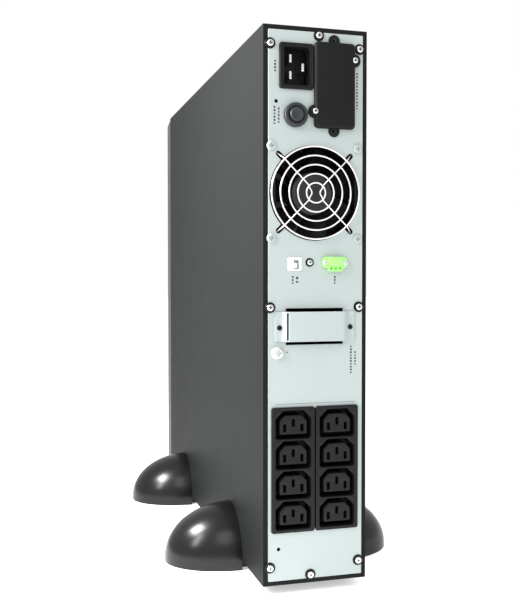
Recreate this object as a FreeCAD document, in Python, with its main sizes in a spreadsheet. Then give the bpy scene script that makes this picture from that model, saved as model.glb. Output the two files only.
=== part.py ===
"""Rack or tower UPS standing upright on two pairs of half-dome stands.

Millimetres.  +Z is up, Z = 0 is the surface that the stands rest on.  The rear panel faces +Y,
the front bezel faces -Y, and X runs across the width.  The origin is under the middle of the
whole object.  Every size is a cell of the spreadsheet or worked out from such cells.
"""
import FreeCAD, Part
import math
import os

import Sketcher

DOC = FreeCAD.newDocument("rackmount_ups")
DIAGONAL = math.sqrt(0.5)

DRIVING = {
    # case
    "case_width": 86, "case_height": 438, "case_depth": 440, "bezel_depth": 22,
    "stand_height": 8, "rear_reach": 7.5, "sheet": 1.2, "lip": 10, "flange": 12, "gap": 0.1,
    "ear_pitch_across": 48, "ear_pitch_deep": 20, "ear_first": 12, "ear_hole": 1.65,
    # rear panel and its screws
    "panel_margin": 4, "screw_head": 4.3, "screw_head_tall": 2.3, "screw_shank": 2,
    "screw_long": 8, "screw_hole": 2.2, "corner_across": 36.9, "corner_shift": 0.9,
    "corner_rise": 204,
    "top_screw_across": 1.9, "bottom_screw_across": 4.4, "top_screw_inset": 6.6,
    "bottom_screw_inset": 7, "small_hole": 1.5, "upper_hole_x": 32.8, "upper_hole_z": 386.9,
    "lower_hole_x": 30.6, "lower_hole_z": 37, "panel_corner": 0.6,
    "lug_hole": 1.8,
    # mains inlet
    "inlet_x": 16.6, "inlet_z": 414.5, "inlet_wide": 28, "inlet_tall": 35.6, "inlet_proud": 2.2,
    "inlet_deep": 28, "cavity_wide": 21.1, "cavity_tall": 29.5, "cavity_deep": 17,
    "cavity_shift": 0.45, "cavity_chamfer": 2, "blade_thick": 2, "blade_long": 6.4,
    "blade_pitch": 13, "blade_shift": 1, "earth_shift": 10.2, "blade_inset": 4,
    # breaker
    "breaker_x": 17.4, "breaker_z": 376.7, "nut_radius": 9.6, "nut_tall": 4.5,
    "collar_radius": 6.9, "button_radius": 5.5, "button_room": 0.3, "breaker_deep": 34,
    "breaker_wide": 15, "breaker_tall": 28, "button_proud": 7.5,
    # accessory slot
    "slot_x": 14.6, "slot_z": 400.8, "slot_wide": 33.7, "slot_tall": 67.2, "slot_proud": 3.5,
    "slot_plate": 1, "slot_ear": 4.6, "slot_ear_rise": 35.2, "slot_ear_hole": 1.3,
    "slot_lug": 5.2, "slot_lug_tall": 1.7,
    "lug_across": 16.5, "lug_rise": 20.6, "sleeve_deep": 112,
    # fan
    "fan_x": 1, "fan_z": 316.7, "fan_side": 80, "fan_deep": 25, "fan_bore": 38.5,
    "fan_screw": 35.75,
    "fan_window": 37.4, "lobe_reach": 44.5, "lobe_wide": 4.4, "hub_radius": 17, "hub_wall": 2,
    "blade_tip": 36.8, "shaft_radius": 1.5, "shaft_play": 0.05, "guard_wire": 0.8,
    "guard_first": 7.8, "guard_pitch": 7.1, "guard_proud": 2.6, "apex": 3.4, "knee": 5.4,
    "dip_start": 37.6, "dip_end": 43.4, "strut_thick": 2.5, "bearing_tube": 4.5,
    # communication ports
    "usb_x": 17.7, "port_z": 261, "usb_side": 11, "usb_deep": 15, "board_top": 255.5,
    "board_thick": 1.6, "comm_screw_x": 5.4, "comm_screw_rise": 1.3, "epo_x": 15.1, "epo_wide": 21,
    "epo_tall": 11, "epo_flange": 2.5, "epo_reach": 5.5, "epo_block_wide": 12,
    "epo_block_tall": 11.3, "epo_ear_rise": 1.2,
    "epo_ear": 8.2, "epo_nose_wide": 11.2, "epo_nose_tall": 7.8, "epo_room": 0.4,
    # battery port
    "strap_x": 1, "strap_z": 212, "strap_tall": 23.4, "strap_half": 33, "strap_face": 23.3,
    "strap_foot": 27.2, "strap_rise": 4, "strap_screw": 29.4,
    "strap_screw_drop": 0.8, "strap_slit": 1, "strap_tab": 0.9, "port_wide": 47.6,
    "port_tall": 28.7,
    # ground screw
    "ground_x": 31.9, "ground_z": 191.6, "ground_head": 4.6, "ground_hole": 2.7,
    # outlet strips
    "strip_x": 18.2, "strip_shift": 0.75, "strip_z": 99.35, "strip_wide": 35.6,
    "strip_tall": 98.9, "strip_rim": 1.8,
    "strip_proud": 2, "strip_deep": 22, "outlet_pitch": 23.8, "groove_wide": 29.4,
    "groove_tall": 22.6, "island_wide": 22.2, "island_tall": 14.6, "outlet_chamfer": 5,
    "slit_wide": 2.6, "slit_tall": 6, "slit_across": 7.1, "slit_drop": 2.5, "slit_rise": 1.5,
    # front
    "bezel_wall": 2.5, "bezel_taper": 5, "bezel_gap": 0.3, "display_z": 391, "display_tall": 88,
    "display_wide": 54, "display_deep": 15, "lcd_wide": 38, "lcd_tall": 50, "lcd_rise": 7,
    "key_z": 356, "key_pitch": 16, "key_radius": 4.5, "key_room": 0.35, "stud_across": 34,
    "stud_inset": 8.5, "stud_radius": 3,
    # batteries
    "block_wide": 65, "block_tall": 151, "block_deep": 94, "stack_z": 29.2, "stack_gap": 1.5,
    # power stage
    "board_x": 35, "board_low": 22, "board_high": 424, "board_back": 165, "sink_z": 316.7,
    "sink_tall": 92, "sink_deep": 110,
    # stands
    "stand_rear": 104.5, "stand_front": 324, "dome_reach": 60.4, "dome_half": 41,
    "dome_tall": 49.2, "rim_tall": 4, "foot_wall": 3, "tongue_half": 32,
}


class Size:
    """A length that carries its number and the spreadsheet expression behind it."""

    def __init__(self, number, text):
        self.number = number
        self.text = text

    def join(self, sign, other, number):
        return Size(number, f"({self.text} {sign} {size(other).text})")

    def __add__(self, other):
        return self.join("+", other, self.number + size(other).number)

    def __sub__(self, other):
        return self.join("-", other, self.number - size(other).number)

    def __mul__(self, other):
        return self.join("*", other, self.number * size(other).number)

    def __truediv__(self, other):
        return self.join("/", other, self.number / size(other).number)

    def __radd__(self, other):
        return size(other) + self

    def __rsub__(self, other):
        return size(other) - self

    def __rmul__(self, other):
        return size(other) * self

    def __neg__(self):
        return size(0) - self


def size(item):
    """Any number or Size as a Size."""
    if isinstance(item, Size):
        return item
    return Size(float(item), f"({float(item)!r})")


def fill_sheet():
    """Write the driving sizes into the spreadsheet and return them by name."""
    sheet = DOC.addObject("Spreadsheet::Sheet", "dims")
    for row, (alias, number) in enumerate(DRIVING.items(), start=1):
        sheet.set(f"A{row}", alias)
        sheet.set(f"B{row}", str(number))
        sheet.setAlias(f"B{row}", alias)
    DOC.recompute()
    return {alias: Size(float(number), f"dims.{alias}") for alias, number in DRIVING.items()}


D = fill_sheet()
HALF_WIDTH = D["case_width"] / 2
INNER = HALF_WIDTH - D["sheet"]
FLOOR = D["stand_height"]
ROOF = FLOOR + D["case_height"]
MIDDLE = FLOOR + D["case_height"] / 2
REAR = (D["case_depth"] - D["rear_reach"]) / 2
FACE = REAR + D["sheet"]
FRONT = REAR - D["case_depth"]
BODY_FRONT = FRONT + D["bezel_depth"]
BODY_DEEP = D["case_depth"] - D["bezel_depth"]
LIP_Y = REAR - D["sheet"]
LIP_INNER = HALF_WIDTH - D["lip"]
SLOT_X = -D["slot_x"]
EPO_X = -D["epo_x"]
THROUGH = D["sheet"] * 3
NODES = []


# ---------------------------------------------------------------- building blocks

def node(thing, name):
    """Name a finished sub-part and keep it for export."""
    thing.Label = name
    NODES.append(thing)
    return thing


def bind(thing, name, length):
    thing.setExpression(name, size(length).text)


def place(thing, position):
    for letter, length in zip("xyz", position):
        bind(thing, f"Placement.Base.{letter}", length)


def box(low, span):
    """Box from its low corner, over span."""
    solid = DOC.addObject("Part::Box", "box")
    for name, length in zip(("Length", "Width", "Height"), span):
        bind(solid, name, length)
    place(solid, low)
    return solid


TURNS = {
    "X": FreeCAD.Rotation(FreeCAD.Vector(0, 1, 0), 90),
    "Y": FreeCAD.Rotation(FreeCAD.Vector(1, 0, 0), -90),
    "Z": FreeCAD.Rotation(),
}


def rod(low, radius, length, axis="Y", turn=None):
    """Cylinder from the centre of its low end, along an axis or a turned Z."""
    solid = DOC.addObject("Part::Cylinder", "rod")
    solid.Placement = FreeCAD.Placement(FreeCAD.Vector(), turn or TURNS[axis])
    bind(solid, "Radius", radius)
    bind(solid, "Height", length)
    place(solid, low)
    return solid


def fuse(parts):
    joined = DOC.addObject("Part::MultiFuse", "union")
    joined.Shapes = parts
    return joined


def cut(base, tools):
    remains = DOC.addObject("Part::Cut", "cut")
    remains.Base = base
    remains.Tool = tools[0] if len(tools) == 1 else fuse(tools)
    return remains


def group(parts):
    """Separate solids that share one node."""
    bundle = DOC.addObject("Part::Compound", "group")
    bundle.Links = parts
    return bundle


def new_body(name):
    return node(DOC.addObject("PartDesign::Body", name), name)


def sketch_on(body, plane, position):
    """Sketch on one of the body's own planes, its origin moved to a place in the row's frame."""
    x, y, z = position
    offset = {"XY_Plane": (x, y, z), "XZ_Plane": (x, z, -size(y)), "YZ_Plane": (y, z, x)}[plane]
    sketch = body.newObject("Sketcher::SketchObject", "sketch")
    support = [item for item in body.Origin.OriginFeatures if item.Role == plane][0]
    sketch.AttachmentSupport = (support, [""])
    sketch.MapMode = "FlatFace"
    for letter, length in zip("xyz", offset):
        bind(sketch, f"AttachmentOffset.Base.{letter}", length)
    return sketch


def pad(body, plane, position, outline, length):
    """Add material from the plane through position, towards + of its normal axis."""
    sketch = sketch_on(body, plane, position)
    outline(sketch)
    feature = body.newObject("PartDesign::Pad", "pad")
    feature.Profile = sketch
    feature.Reversed = plane == "XZ_Plane"
    bind(feature, "Length", length)
    return feature


def pocket(body, plane, position, outline, length):
    """Remove material from the plane through position, towards + of its normal axis."""
    sketch = sketch_on(body, plane, position)
    outline(sketch)
    feature = body.newObject("PartDesign::Pocket", "pocket")
    feature.Profile = sketch
    feature.Reversed = plane != "XZ_Plane"
    bind(feature, "Length", length)
    return feature


# ---------------------------------------------------------------- outlines

def hold(sketch, constraint, length):
    """Add a constraint whose value follows a size."""
    number = sketch.addConstraint(constraint(size(length).number))
    sketch.setExpression(f"Constraints[{number}]", size(length).text)


def polygon(corners):
    """Closed outline through corners given in the sketch's own axes."""
    corners = [(size(x), size(y)) for x, y in corners]

    def draw(sketch):
        first = sketch.GeometryCount
        ends = [FreeCAD.Vector(x.number, y.number, 0) for x, y in corners]
        for index, end in enumerate(ends):
            sketch.addGeometry(Part.LineSegment(end, ends[(index + 1) % len(ends)]))
        for index, (x, y) in enumerate(corners):
            line = first + index
            following = first + (index + 1) % len(ends)
            sketch.addConstraint(Sketcher.Constraint("Coincident", line, 2, following, 1))
            hold(sketch, lambda v, n=line: Sketcher.Constraint("DistanceX", -1, 1, n, 1, v), x)
            hold(sketch, lambda v, n=line: Sketcher.Constraint("DistanceY", -1, 1, n, 1, v), y)
    return draw


def rectangle(width, height, centre=(0, 0)):
    x, y = size(centre[0]), size(centre[1])
    half, rise = size(width) / 2, size(height) / 2
    return polygon([(x - half, y - rise), (x + half, y - rise), (x + half, y + rise),
                    (x - half, y + rise)])


def diagonal_bar(reach, width, lean):
    """Bar through the sketch's origin at 45 degrees, leaning right (1) or left (-1)."""
    along, side = size(reach) * DIAGONAL, size(width) / 2 * DIAGONAL
    corners = [(along + side, along - side), (along - side, along + side),
               (-along - side, -along + side), (-along + side, -along - side)]
    return polygon([(x * lean, y) for x, y in corners])


def diagonal_lobes(reach, width, lean):
    """The same bar with faceted round ends."""
    radius = size(width) / 2
    end = size(reach) - radius
    corners = []
    for side in (1, -1):
        for turn in range(-90, 91, 30):
            along = (end + radius * math.cos(math.radians(turn))) * side * DIAGONAL
            across = radius * math.sin(math.radians(turn)) * side * DIAGONAL
            corners.append(((along - across) * lean, along + across))
    return polygon(corners)


def circle(radius, centre=(0, 0)):
    x, y, r = size(centre[0]), size(centre[1]), size(radius)

    def draw(sketch):
        middle = FreeCAD.Vector(x.number, y.number, 0)
        ring = sketch.addGeometry(Part.Circle(middle, FreeCAD.Vector(0, 0, 1), r.number))
        hold(sketch, lambda v: Sketcher.Constraint("DistanceX", -1, 1, ring, 3, v), x)
        hold(sketch, lambda v: Sketcher.Constraint("DistanceY", -1, 1, ring, 3, v), y)
        hold(sketch, lambda v: Sketcher.Constraint("Radius", ring, v), r)
    return draw


def rounded(width, height, radius):
    """Rectangle with round corners about the sketch's origin."""
    wide, tall, r = size(width), size(height), size(radius)

    def draw(sketch):
        across, rise, bend = wide.number / 2, tall.number / 2, r.number
        turns = ((1, -1, -90), (1, 1, 0), (-1, 1, 90), (-1, -1, 180))
        arcs = []
        for sign_x, sign_y, start in turns:
            middle = FreeCAD.Vector(sign_x * (across - bend), sign_y * (rise - bend), 0)
            ring = Part.Circle(middle, FreeCAD.Vector(0, 0, 1), bend)
            arcs.append(Part.ArcOfCircle(ring, math.radians(start), math.radians(start + 90)))
        for index, arc in enumerate(arcs):
            sketch.addGeometry(Part.LineSegment(arcs[index - 1].EndPoint, arc.StartPoint))
            sketch.addGeometry(arc)
        for index in range(8):
            sketch.addConstraint(
                Sketcher.Constraint("Tangent", index, 2, (index + 1) % 8, 1))
        for index, way in enumerate(("Horizontal", "Vertical") * 2):
            sketch.addConstraint(Sketcher.Constraint(way, index * 2))
        for index in (3, 5, 7):
            sketch.addConstraint(Sketcher.Constraint("Equal", 1, index))
        sketch.addConstraint(Sketcher.Constraint("Symmetric", 1, 3, 5, 3, -1, 1))
        hold(sketch, lambda v: Sketcher.Constraint("DistanceX", 6, 1, 2, 1, v), wide)
        hold(sketch, lambda v: Sketcher.Constraint("DistanceY", 0, 1, 4, 1, v), tall)
        hold(sketch, lambda v: Sketcher.Constraint("Radius", 1, v), r)
    return draw


def several(outlines):
    def draw(sketch):
        for outline in outlines:
            outline(sketch)
    return draw


# ---------------------------------------------------------------- places used more than once

def corner_screws():
    """Six screws down the two long edges of the rear panel, as (x, z)."""
    return [(D["corner_shift"] + D["corner_across"] * side, MIDDLE + D["corner_rise"] * level)
            for side in (1, -1) for level in (1, 0, -1)]


def edge_screws():
    """The screw at the top and the one at the bottom edge of the rear panel."""
    return [(-D["top_screw_across"], ROOF - D["top_screw_inset"]),
            (D["bottom_screw_across"], FLOOR + D["bottom_screw_inset"])]


def fan_screw_places():
    return [(D["fan_x"] + D["fan_screw"] * side, D["fan_z"] + D["fan_screw"] * level)
            for side in (1, -1) for level in (1, -1)]


def slot_lugs():
    """Screw lugs of the slot cover: low on the +X side, high on the -X side."""
    return [(SLOT_X + D["lug_across"] * side, D["slot_z"] - D["lug_rise"] * side)
            for side in (1, -1)]


def row_heights():
    """Middle of each outlet, from the top one down."""
    return [D["strip_z"] + D["outlet_pitch"] * level for level in (1.5, 0.5, -0.5, -1.5)]


def strip_middle(side):
    return D["strip_shift"] + D["strip_x"] * side


def comm_screw_place():
    return D["comm_screw_x"], D["port_z"] + D["comm_screw_rise"]


def strap_screws():
    """The two screws of the battery port's strap, as (x, z)."""
    return [(D["strap_x"] + D["strap_screw"] * side, D["strap_z"] - D["strap_screw_drop"])
            for side in (1, -1)]


def key_places():
    return [D["key_pitch"] * column for column in (1, 0, -1)]


def stud_places():
    return [(D["stud_across"] * side, height) for side in (1, -1)
            for height in (FLOOR + D["stud_inset"], ROOF - D["stud_inset"])]


def door_screws():
    rise = stack_tall() / 2 + 5
    return [(30 * side, stack_middle() + rise * level) for side in (1, -1) for level in (1, -1)]


def stack_tall():
    return D["block_tall"] * 2 + D["stack_gap"]


def stack_middle():
    return D["stack_z"] + stack_tall() / 2


# ---------------------------------------------------------------- case

def outer_cover():
    """U of sheet round the +X side, the top and the bottom, with lips behind the panel."""
    body = new_body("outer_cover")
    low, high, sheet = FLOOR + D["sheet"], ROOF - D["sheet"], D["sheet"]
    pad(body, "XZ_Plane", (0, BODY_FRONT, 0), polygon([
        (-INNER, FLOOR), (HALF_WIDTH, FLOOR), (HALF_WIDTH, ROOF), (-INNER, ROOF),
        (-INNER, high), (INNER, high), (INNER, low), (-INNER, low)]), BODY_DEEP)
    under, over = FLOOR + D["lip"] - 1, ROOF - D["lip"] + 1
    pad(body, "XZ_Plane", (0, LIP_Y, 0), polygon([
        (-INNER, low), (INNER, low), (INNER, high), (-INNER, high),
        (-INNER, over), (LIP_INNER, over), (LIP_INNER, under), (-INNER, under)]), sheet)
    places = corner_screws()[:3] + edge_screws() + fan_screw_places()[:2]
    holes = [circle(D["screw_hole"], spot) for spot in places]
    holes += [circle(D["ground_hole"], (D["ground_x"], D["ground_z"])), strip_notch(1)]
    pocket(body, "XZ_Plane", (0, LIP_Y - sheet, 0), several(holes), THROUGH)
    ears = [circle(D["ear_hole"], (D["ear_pitch_across"] / 2 * side,
                                   BODY_FRONT + D["ear_first"] + D["ear_pitch_deep"] * step))
            for side in (1, -1) for step in (0, 1)]
    for height in (FLOOR, ROOF - sheet):
        pocket(body, "XY_Plane", (0, 0, height), several(ears), sheet)


def strip_notch(side):
    """Room that a lip leaves for the back of an outlet strip."""
    clear = D["strip_rim"] * 2 - D["gap"] * 4
    return rectangle(D["strip_wide"] - clear, D["strip_tall"] - clear,
                     (strip_middle(side), D["strip_z"]))


def chassis_tray():
    """The -X side with its two flanges inside the cover and a lip behind the panel."""
    body = new_body("chassis_tray")
    sheet, gap, reach = D["sheet"], D["gap"], INNER - D["flange"]
    low, high = FLOOR + sheet + gap, ROOF - sheet - gap
    pad(body, "XZ_Plane", (0, BODY_FRONT, 0), polygon([
        (-HALF_WIDTH, FLOOR), (-INNER, FLOOR), (-INNER, low), (-reach, low),
        (-reach, low + sheet), (-INNER, low + sheet), (-INNER, high - sheet),
        (-reach, high - sheet), (-reach, high), (-INNER, high), (-INNER, ROOF),
        (-HALF_WIDTH, ROOF)]), BODY_DEEP - sheet)
    under, over = FLOOR + D["lip"] - 1 + gap, ROOF - D["lip"] + 1 - gap
    pad(body, "XZ_Plane", (0, LIP_Y, 0), polygon([
        (-HALF_WIDTH, FLOOR), (-INNER, FLOOR), (-INNER, under), (-LIP_INNER, under),
        (-LIP_INNER, over), (-INNER, over), (-INNER, ROOF), (-HALF_WIDTH, ROOF)]), sheet)
    holes = [circle(D["screw_hole"], spot) for spot in corner_screws()[3:]
             + fan_screw_places()[2:]]
    holes.append(strip_notch(-1))
    pocket(body, "XZ_Plane", (0, LIP_Y - sheet, 0), several(holes), THROUGH)


def inner_wall(name, y):
    """Upright sheet across the inside of the case."""
    body = new_body(name)
    clear = D["sheet"] * 2 + D["gap"] * 2
    pad(body, "XZ_Plane", (0, y, MIDDLE),
        rectangle((INNER - D["gap"]) * 2, D["case_height"] - clear * 2), D["sheet"])
    return body


def front_plate():
    body = inner_wall("front_plate", BODY_FRONT)
    pocket(body, "XZ_Plane", (0, BODY_FRONT - 1, stack_middle()),
           rectangle(D["block_wide"] + 7, stack_tall() + 4), THROUGH)
    pocket(body, "XZ_Plane", (0, BODY_FRONT - 1, D["display_z"]), rectangle(30, 20), THROUGH)
    holes = [circle(D["screw_shank"] + D["gap"], spot) for spot in stud_places() + door_screws()]
    pocket(body, "XZ_Plane", (0, BODY_FRONT - 1, 0), several(holes), THROUGH)


def divider_plate():
    back = BODY_FRONT + D["sheet"] * 3 + D["block_deep"] * 2 + D["stack_gap"] + 4
    body = inner_wall("divider_plate", back)
    pocket(body, "XZ_Plane", (0, back - 1, D["display_z"]), rectangle(40, 24), THROUGH)


def rear_panel():
    """Light sheet over the lips, with a cut-out for everything behind it."""
    body = new_body("rear_panel")
    pad(body, "XZ_Plane", (0, REAR, MIDDLE),
        rounded(D["case_width"] - D["panel_margin"] * 2,
                D["case_height"] - D["panel_margin"] * 2, D["panel_corner"]), D["sheet"])
    windows = [
        rectangle(D["inlet_wide"] - 1.8, D["inlet_tall"] - 3.2, (D["inlet_x"], D["inlet_z"])),
        rectangle(D["slot_wide"] - 5, D["slot_tall"] - 6, (SLOT_X, D["slot_z"])),
        rectangle(D["usb_side"] + 0.4, D["usb_side"] + 0.4, (D["usb_x"], D["port_z"])),
        rectangle(D["epo_nose_wide"] + 1.2, D["epo_nose_tall"] + 1.6, (EPO_X, D["port_z"])),
        rectangle(D["port_wide"], D["port_tall"], (D["strap_x"], D["strap_z"])),
        circle(D["collar_radius"] + D["gap"], (D["breaker_x"], D["breaker_z"])),
        circle(D["ground_hole"], (D["ground_x"], D["ground_z"])),
        circle(D["small_hole"], (D["upper_hole_x"], D["upper_hole_z"])),
        circle(D["small_hole"], (D["lower_hole_x"], D["lower_hole_z"])),
    ]
    clear = D["strip_rim"] * 2 - D["gap"] * 4
    windows.append(rectangle(D["strip_x"] * 2 + D["strip_wide"] - clear,
                             D["strip_tall"] - clear, (D["strip_shift"], D["strip_z"])))
    windows += [circle(D["screw_hole"], spot) for spot in corner_screws() + edge_screws()
                + fan_screw_places()]
    windows += [circle(D["lug_hole"], spot) for spot in slot_lugs() + strap_screws()]
    windows += [circle(D["screw_hole"], comm_screw_place())]
    windows += [circle(D["slot_ear_hole"], (SLOT_X, D["slot_z"] + D["slot_ear_rise"] * way))
                for way in (1, -1)]
    windows += [circle(1.4, (EPO_X + D["epo_ear"] * side, D["port_z"] + D["epo_ear_rise"]))
                for side in (1, -1)]
    pocket(body, "XZ_Plane", (0, REAR - 1, 0), several(windows), THROUGH)
    at = (D["fan_x"], REAR - 1, D["fan_z"])
    pocket(body, "XZ_Plane", at, circle(D["fan_window"]), THROUGH)
    for lean in (1, -1):
        pocket(body, "XZ_Plane", at, diagonal_lobes(D["lobe_reach"], D["lobe_wide"], lean),
               THROUGH)


def pan_screw(x, z, seat, head=None, tall=None, shank=None, long=None):
    """Screw with a round head standing on +Y of seat and its shank towards -Y."""
    head, tall = head or D["screw_head"], tall or D["screw_head_tall"]
    shank, long = shank or D["screw_shank"], size(long or D["screw_long"])
    return fuse([rod((x, seat, z), head, tall),
                 rod((x, size(seat) - long, z), shank, long + 0.5)])


def case_screws():
    """Eight screws of the rear panel, and four of the battery door, which face the front."""
    screws = [pan_screw(x, z, FACE) for x, z in corner_screws() + edge_screws()]
    seat = BODY_FRONT - D["sheet"]
    for x, z in door_screws():
        head = rod((x, seat - D["screw_head_tall"], z), D["screw_head"], D["screw_head_tall"])
        screws.append(fuse([head, rod((x, seat - 0.5, z), D["screw_shank"] - 0.1, 6)]))
    node(group(screws), "case_screws")


# ---------------------------------------------------------------- mains inlet and breaker

def inlet_blades():
    """Centre of each blade of the inlet: line, neutral, earth."""
    live = D["inlet_x"] - D["blade_shift"] + D["earth_shift"] / 2
    return [(live, D["inlet_z"] + D["blade_pitch"] / 2),
            (live, D["inlet_z"] - D["blade_pitch"] / 2),
            (live - D["earth_shift"], D["inlet_z"])]


def inlet():
    body = new_body("inlet_housing")
    x, z = D["inlet_x"], D["inlet_z"]
    mouth = FACE + D["inlet_proud"]
    pad(body, "XZ_Plane", (x, FACE, z), rounded(D["inlet_wide"], D["inlet_tall"], 2),
        D["inlet_proud"])
    pad(body, "XZ_Plane", (x, FACE - D["inlet_deep"], z),
        rectangle(D["inlet_wide"] - 2, D["inlet_tall"] - 3.4), D["inlet_deep"])
    half, rise, bevel = D["cavity_wide"] / 2, D["cavity_tall"] / 2, D["cavity_chamfer"]
    floor = mouth - D["cavity_deep"]
    pocket(body, "XZ_Plane", (x - D["cavity_shift"], floor, z), polygon([
        (half, -rise), (half, rise), (-half + bevel, rise), (-half, rise - bevel),
        (-half, -rise + bevel), (-half + bevel, -rise)]), D["cavity_deep"])
    slits = [rectangle(D["blade_thick"], D["blade_long"], (px, pz))
             for px, pz in inlet_blades()]
    pocket(body, "XZ_Plane", (0, FACE - D["inlet_deep"], 0), several(slits),
           D["inlet_deep"])
    tail = FACE - D["inlet_deep"] - 8
    blades = [box((px - D["blade_thick"] / 2, tail, pz - D["blade_long"] / 2),
                  (D["blade_thick"], mouth - D["blade_inset"] - tail, D["blade_long"]))
              for px, pz in inlet_blades()]
    node(group(blades), "inlet_blades")


def breaker():
    """Thermal breaker: body behind the panel, threaded collar, nut and reset button."""
    x, z = D["breaker_x"], D["breaker_z"]
    wide, tall, deep = D["breaker_wide"], D["breaker_tall"], D["breaker_deep"]
    block = box((x - wide / 2, REAR - deep, z - tall / 2), (wide, deep, tall))
    collar = rod((x, REAR, z), D["collar_radius"], D["sheet"] + D["nut_tall"])
    bore = D["button_radius"] + D["button_room"]
    node(cut(fuse([block, collar]), [rod((x, REAR - 20, z), bore, 40)]), "breaker_body")
    ring = cut(rod((x, FACE, z), D["nut_radius"], D["nut_tall"]),
               [rod((x, FACE - 1, z), D["collar_radius"] + D["shaft_play"], D["nut_tall"] + 2)])
    node(ring, "breaker_nut")
    node(rod((x, REAR - 14, z), D["button_radius"], D["button_proud"] + 14), "breaker_button")


# ---------------------------------------------------------------- accessory slot

def slot():
    """Frame plate with two ears, cover with two screw lugs, and the card sleeve behind."""
    z, wide, tall = D["slot_z"], D["slot_wide"], D["slot_tall"]
    frame = new_body("slot_frame")
    pad(frame, "XZ_Plane", (SLOT_X, FACE, z), rounded(wide - 1.4, tall - 1.4, 2),
        D["slot_plate"])
    ears = [circle(D["slot_ear"], (0, D["slot_ear_rise"] * way)) for way in (1, -1)]
    pad(frame, "XZ_Plane", (SLOT_X, FACE, z), several(ears), D["slot_plate"])
    at = (SLOT_X, FACE - 1, z)
    holes = [circle(D["slot_ear_hole"], (0, D["slot_ear_rise"] * way)) for way in (1, -1)]
    pocket(frame, "XZ_Plane", at, several([rectangle(wide - 8, tall - 9)] + holes), THROUGH)
    pocket(frame, "XZ_Plane", (0, FACE - 1, 0),
           several([circle(1.8, spot) for spot in slot_lugs()]), THROUGH)

    cover = new_body("slot_cover")
    seat = FACE + D["slot_plate"]
    pad(cover, "XZ_Plane", (SLOT_X, seat, z), rounded(wide, tall, 3), D["slot_proud"])
    pocket(cover, "XZ_Plane", (SLOT_X, seat, z), rectangle(wide - 8, tall - 8), 2)
    pad(cover, "XZ_Plane", (0, seat, 0),
        several([circle(D["slot_lug"], spot) for spot in slot_lugs()]), D["slot_lug_tall"])
    for x, height in slot_lugs():
        pocket(cover, "XZ_Plane", (x, seat + D["slot_lug_tall"], height), circle(4.1), 4)
        pocket(cover, "XZ_Plane", (x, seat - 1, height), circle(1.8), 6)
    screws = [pan_screw(x, height, seat + D["slot_lug_tall"], 3.8, 2, 1.7, 9)
              for x, height in slot_lugs()]
    node(group(screws), "slot_screws")

    sleeve = new_body("slot_sleeve")
    back = (SLOT_X, REAR - D["sleeve_deep"], z)
    pad(sleeve, "XZ_Plane", back, rectangle(wide - 2.8, tall - 2), D["sleeve_deep"])
    pocket(sleeve, "XZ_Plane", back, rectangle(wide - 5.2, tall - 4.4), D["sleeve_deep"])
    pocket(sleeve, "XZ_Plane", (0, REAR - 12, 0),
           several([circle(3, spot) for spot in slot_lugs()]), 12)


# ---------------------------------------------------------------- fan

def fan_frame():
    """Square frame with a round duct; four struts carry the bearing tube at the inner side."""
    body = new_body("fan_frame")
    deep, thin = D["fan_deep"], D["strut_thick"]
    at = (D["fan_x"], fan_face() - deep, D["fan_z"])
    bearing = D["shaft_radius"] + D["shaft_play"]
    pad(body, "XZ_Plane", at, rounded(D["fan_side"], D["fan_side"], 4), deep)
    pocket(body, "XZ_Plane", at, circle(D["fan_bore"]), deep)
    pad(body, "XZ_Plane", at, circle(D["hub_radius"] - 1), thin)
    for lean in (1, -1):
        pad(body, "XZ_Plane", at, diagonal_bar(D["fan_bore"] + 2, thin * 2, lean), thin)
    pad(body, "XZ_Plane", at, circle(D["bearing_tube"]), 17)
    pocket(body, "XZ_Plane", at, circle(bearing), 18)
    holes = [circle(D["screw_hole"], (D["fan_screw"] * side, D["fan_screw"] * level))
             for side in (1, -1) for level in (1, -1)]
    pocket(body, "XZ_Plane", at, several(holes), deep)


def fan_face():
    """The fan's outer face, just inside the wire guard."""
    return LIP_Y - D["guard_wire"] * 2 - D["gap"] * 2


def fan_rotor():
    """Cup-shaped hub on a shaft, with seven pitched blades."""
    body = new_body("fan_rotor")
    x, z, hub = D["fan_x"], D["fan_z"], D["hub_radius"]
    back, deep = fan_face() - 21.2, 20
    cap = 2
    pad(body, "XZ_Plane", (x, back, z), circle(hub), deep)
    pocket(body, "XZ_Plane", (x, back, z), circle(hub - D["hub_wall"]), deep - cap)
    pad(body, "XZ_Plane", (x, back, z), circle(D["shaft_radius"]), deep - cap)
    blade = pad(body, "YZ_Plane", (x + hub - 1, 0, z), polygon([
        (back + 2, -5), (back + 4, -6), (back + deep - 3, 5), (back + deep - 4.5, 6)]),
        D["blade_tip"] - hub + 1)
    pattern = body.newObject("PartDesign::PolarPattern", "blades")
    pattern.Originals = [blade]
    line = sketch_on(body, "XZ_Plane", (x, 0, z))
    pattern.Axis = (line, ["N_Axis"])
    pattern.Angle = 360
    pattern.Occurrences = 7
    body.Tip = pattern


def fan_stator():
    inner = fan_face() - D["fan_deep"]
    coil = rod((D["fan_x"], inner + 4.5, D["fan_z"]), 13, 10)
    core = rod((D["fan_x"], inner, D["fan_z"]), D["bearing_tube"] + D["shaft_play"], 20)
    node(cut(coil, [core]), "fan_stator")


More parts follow.
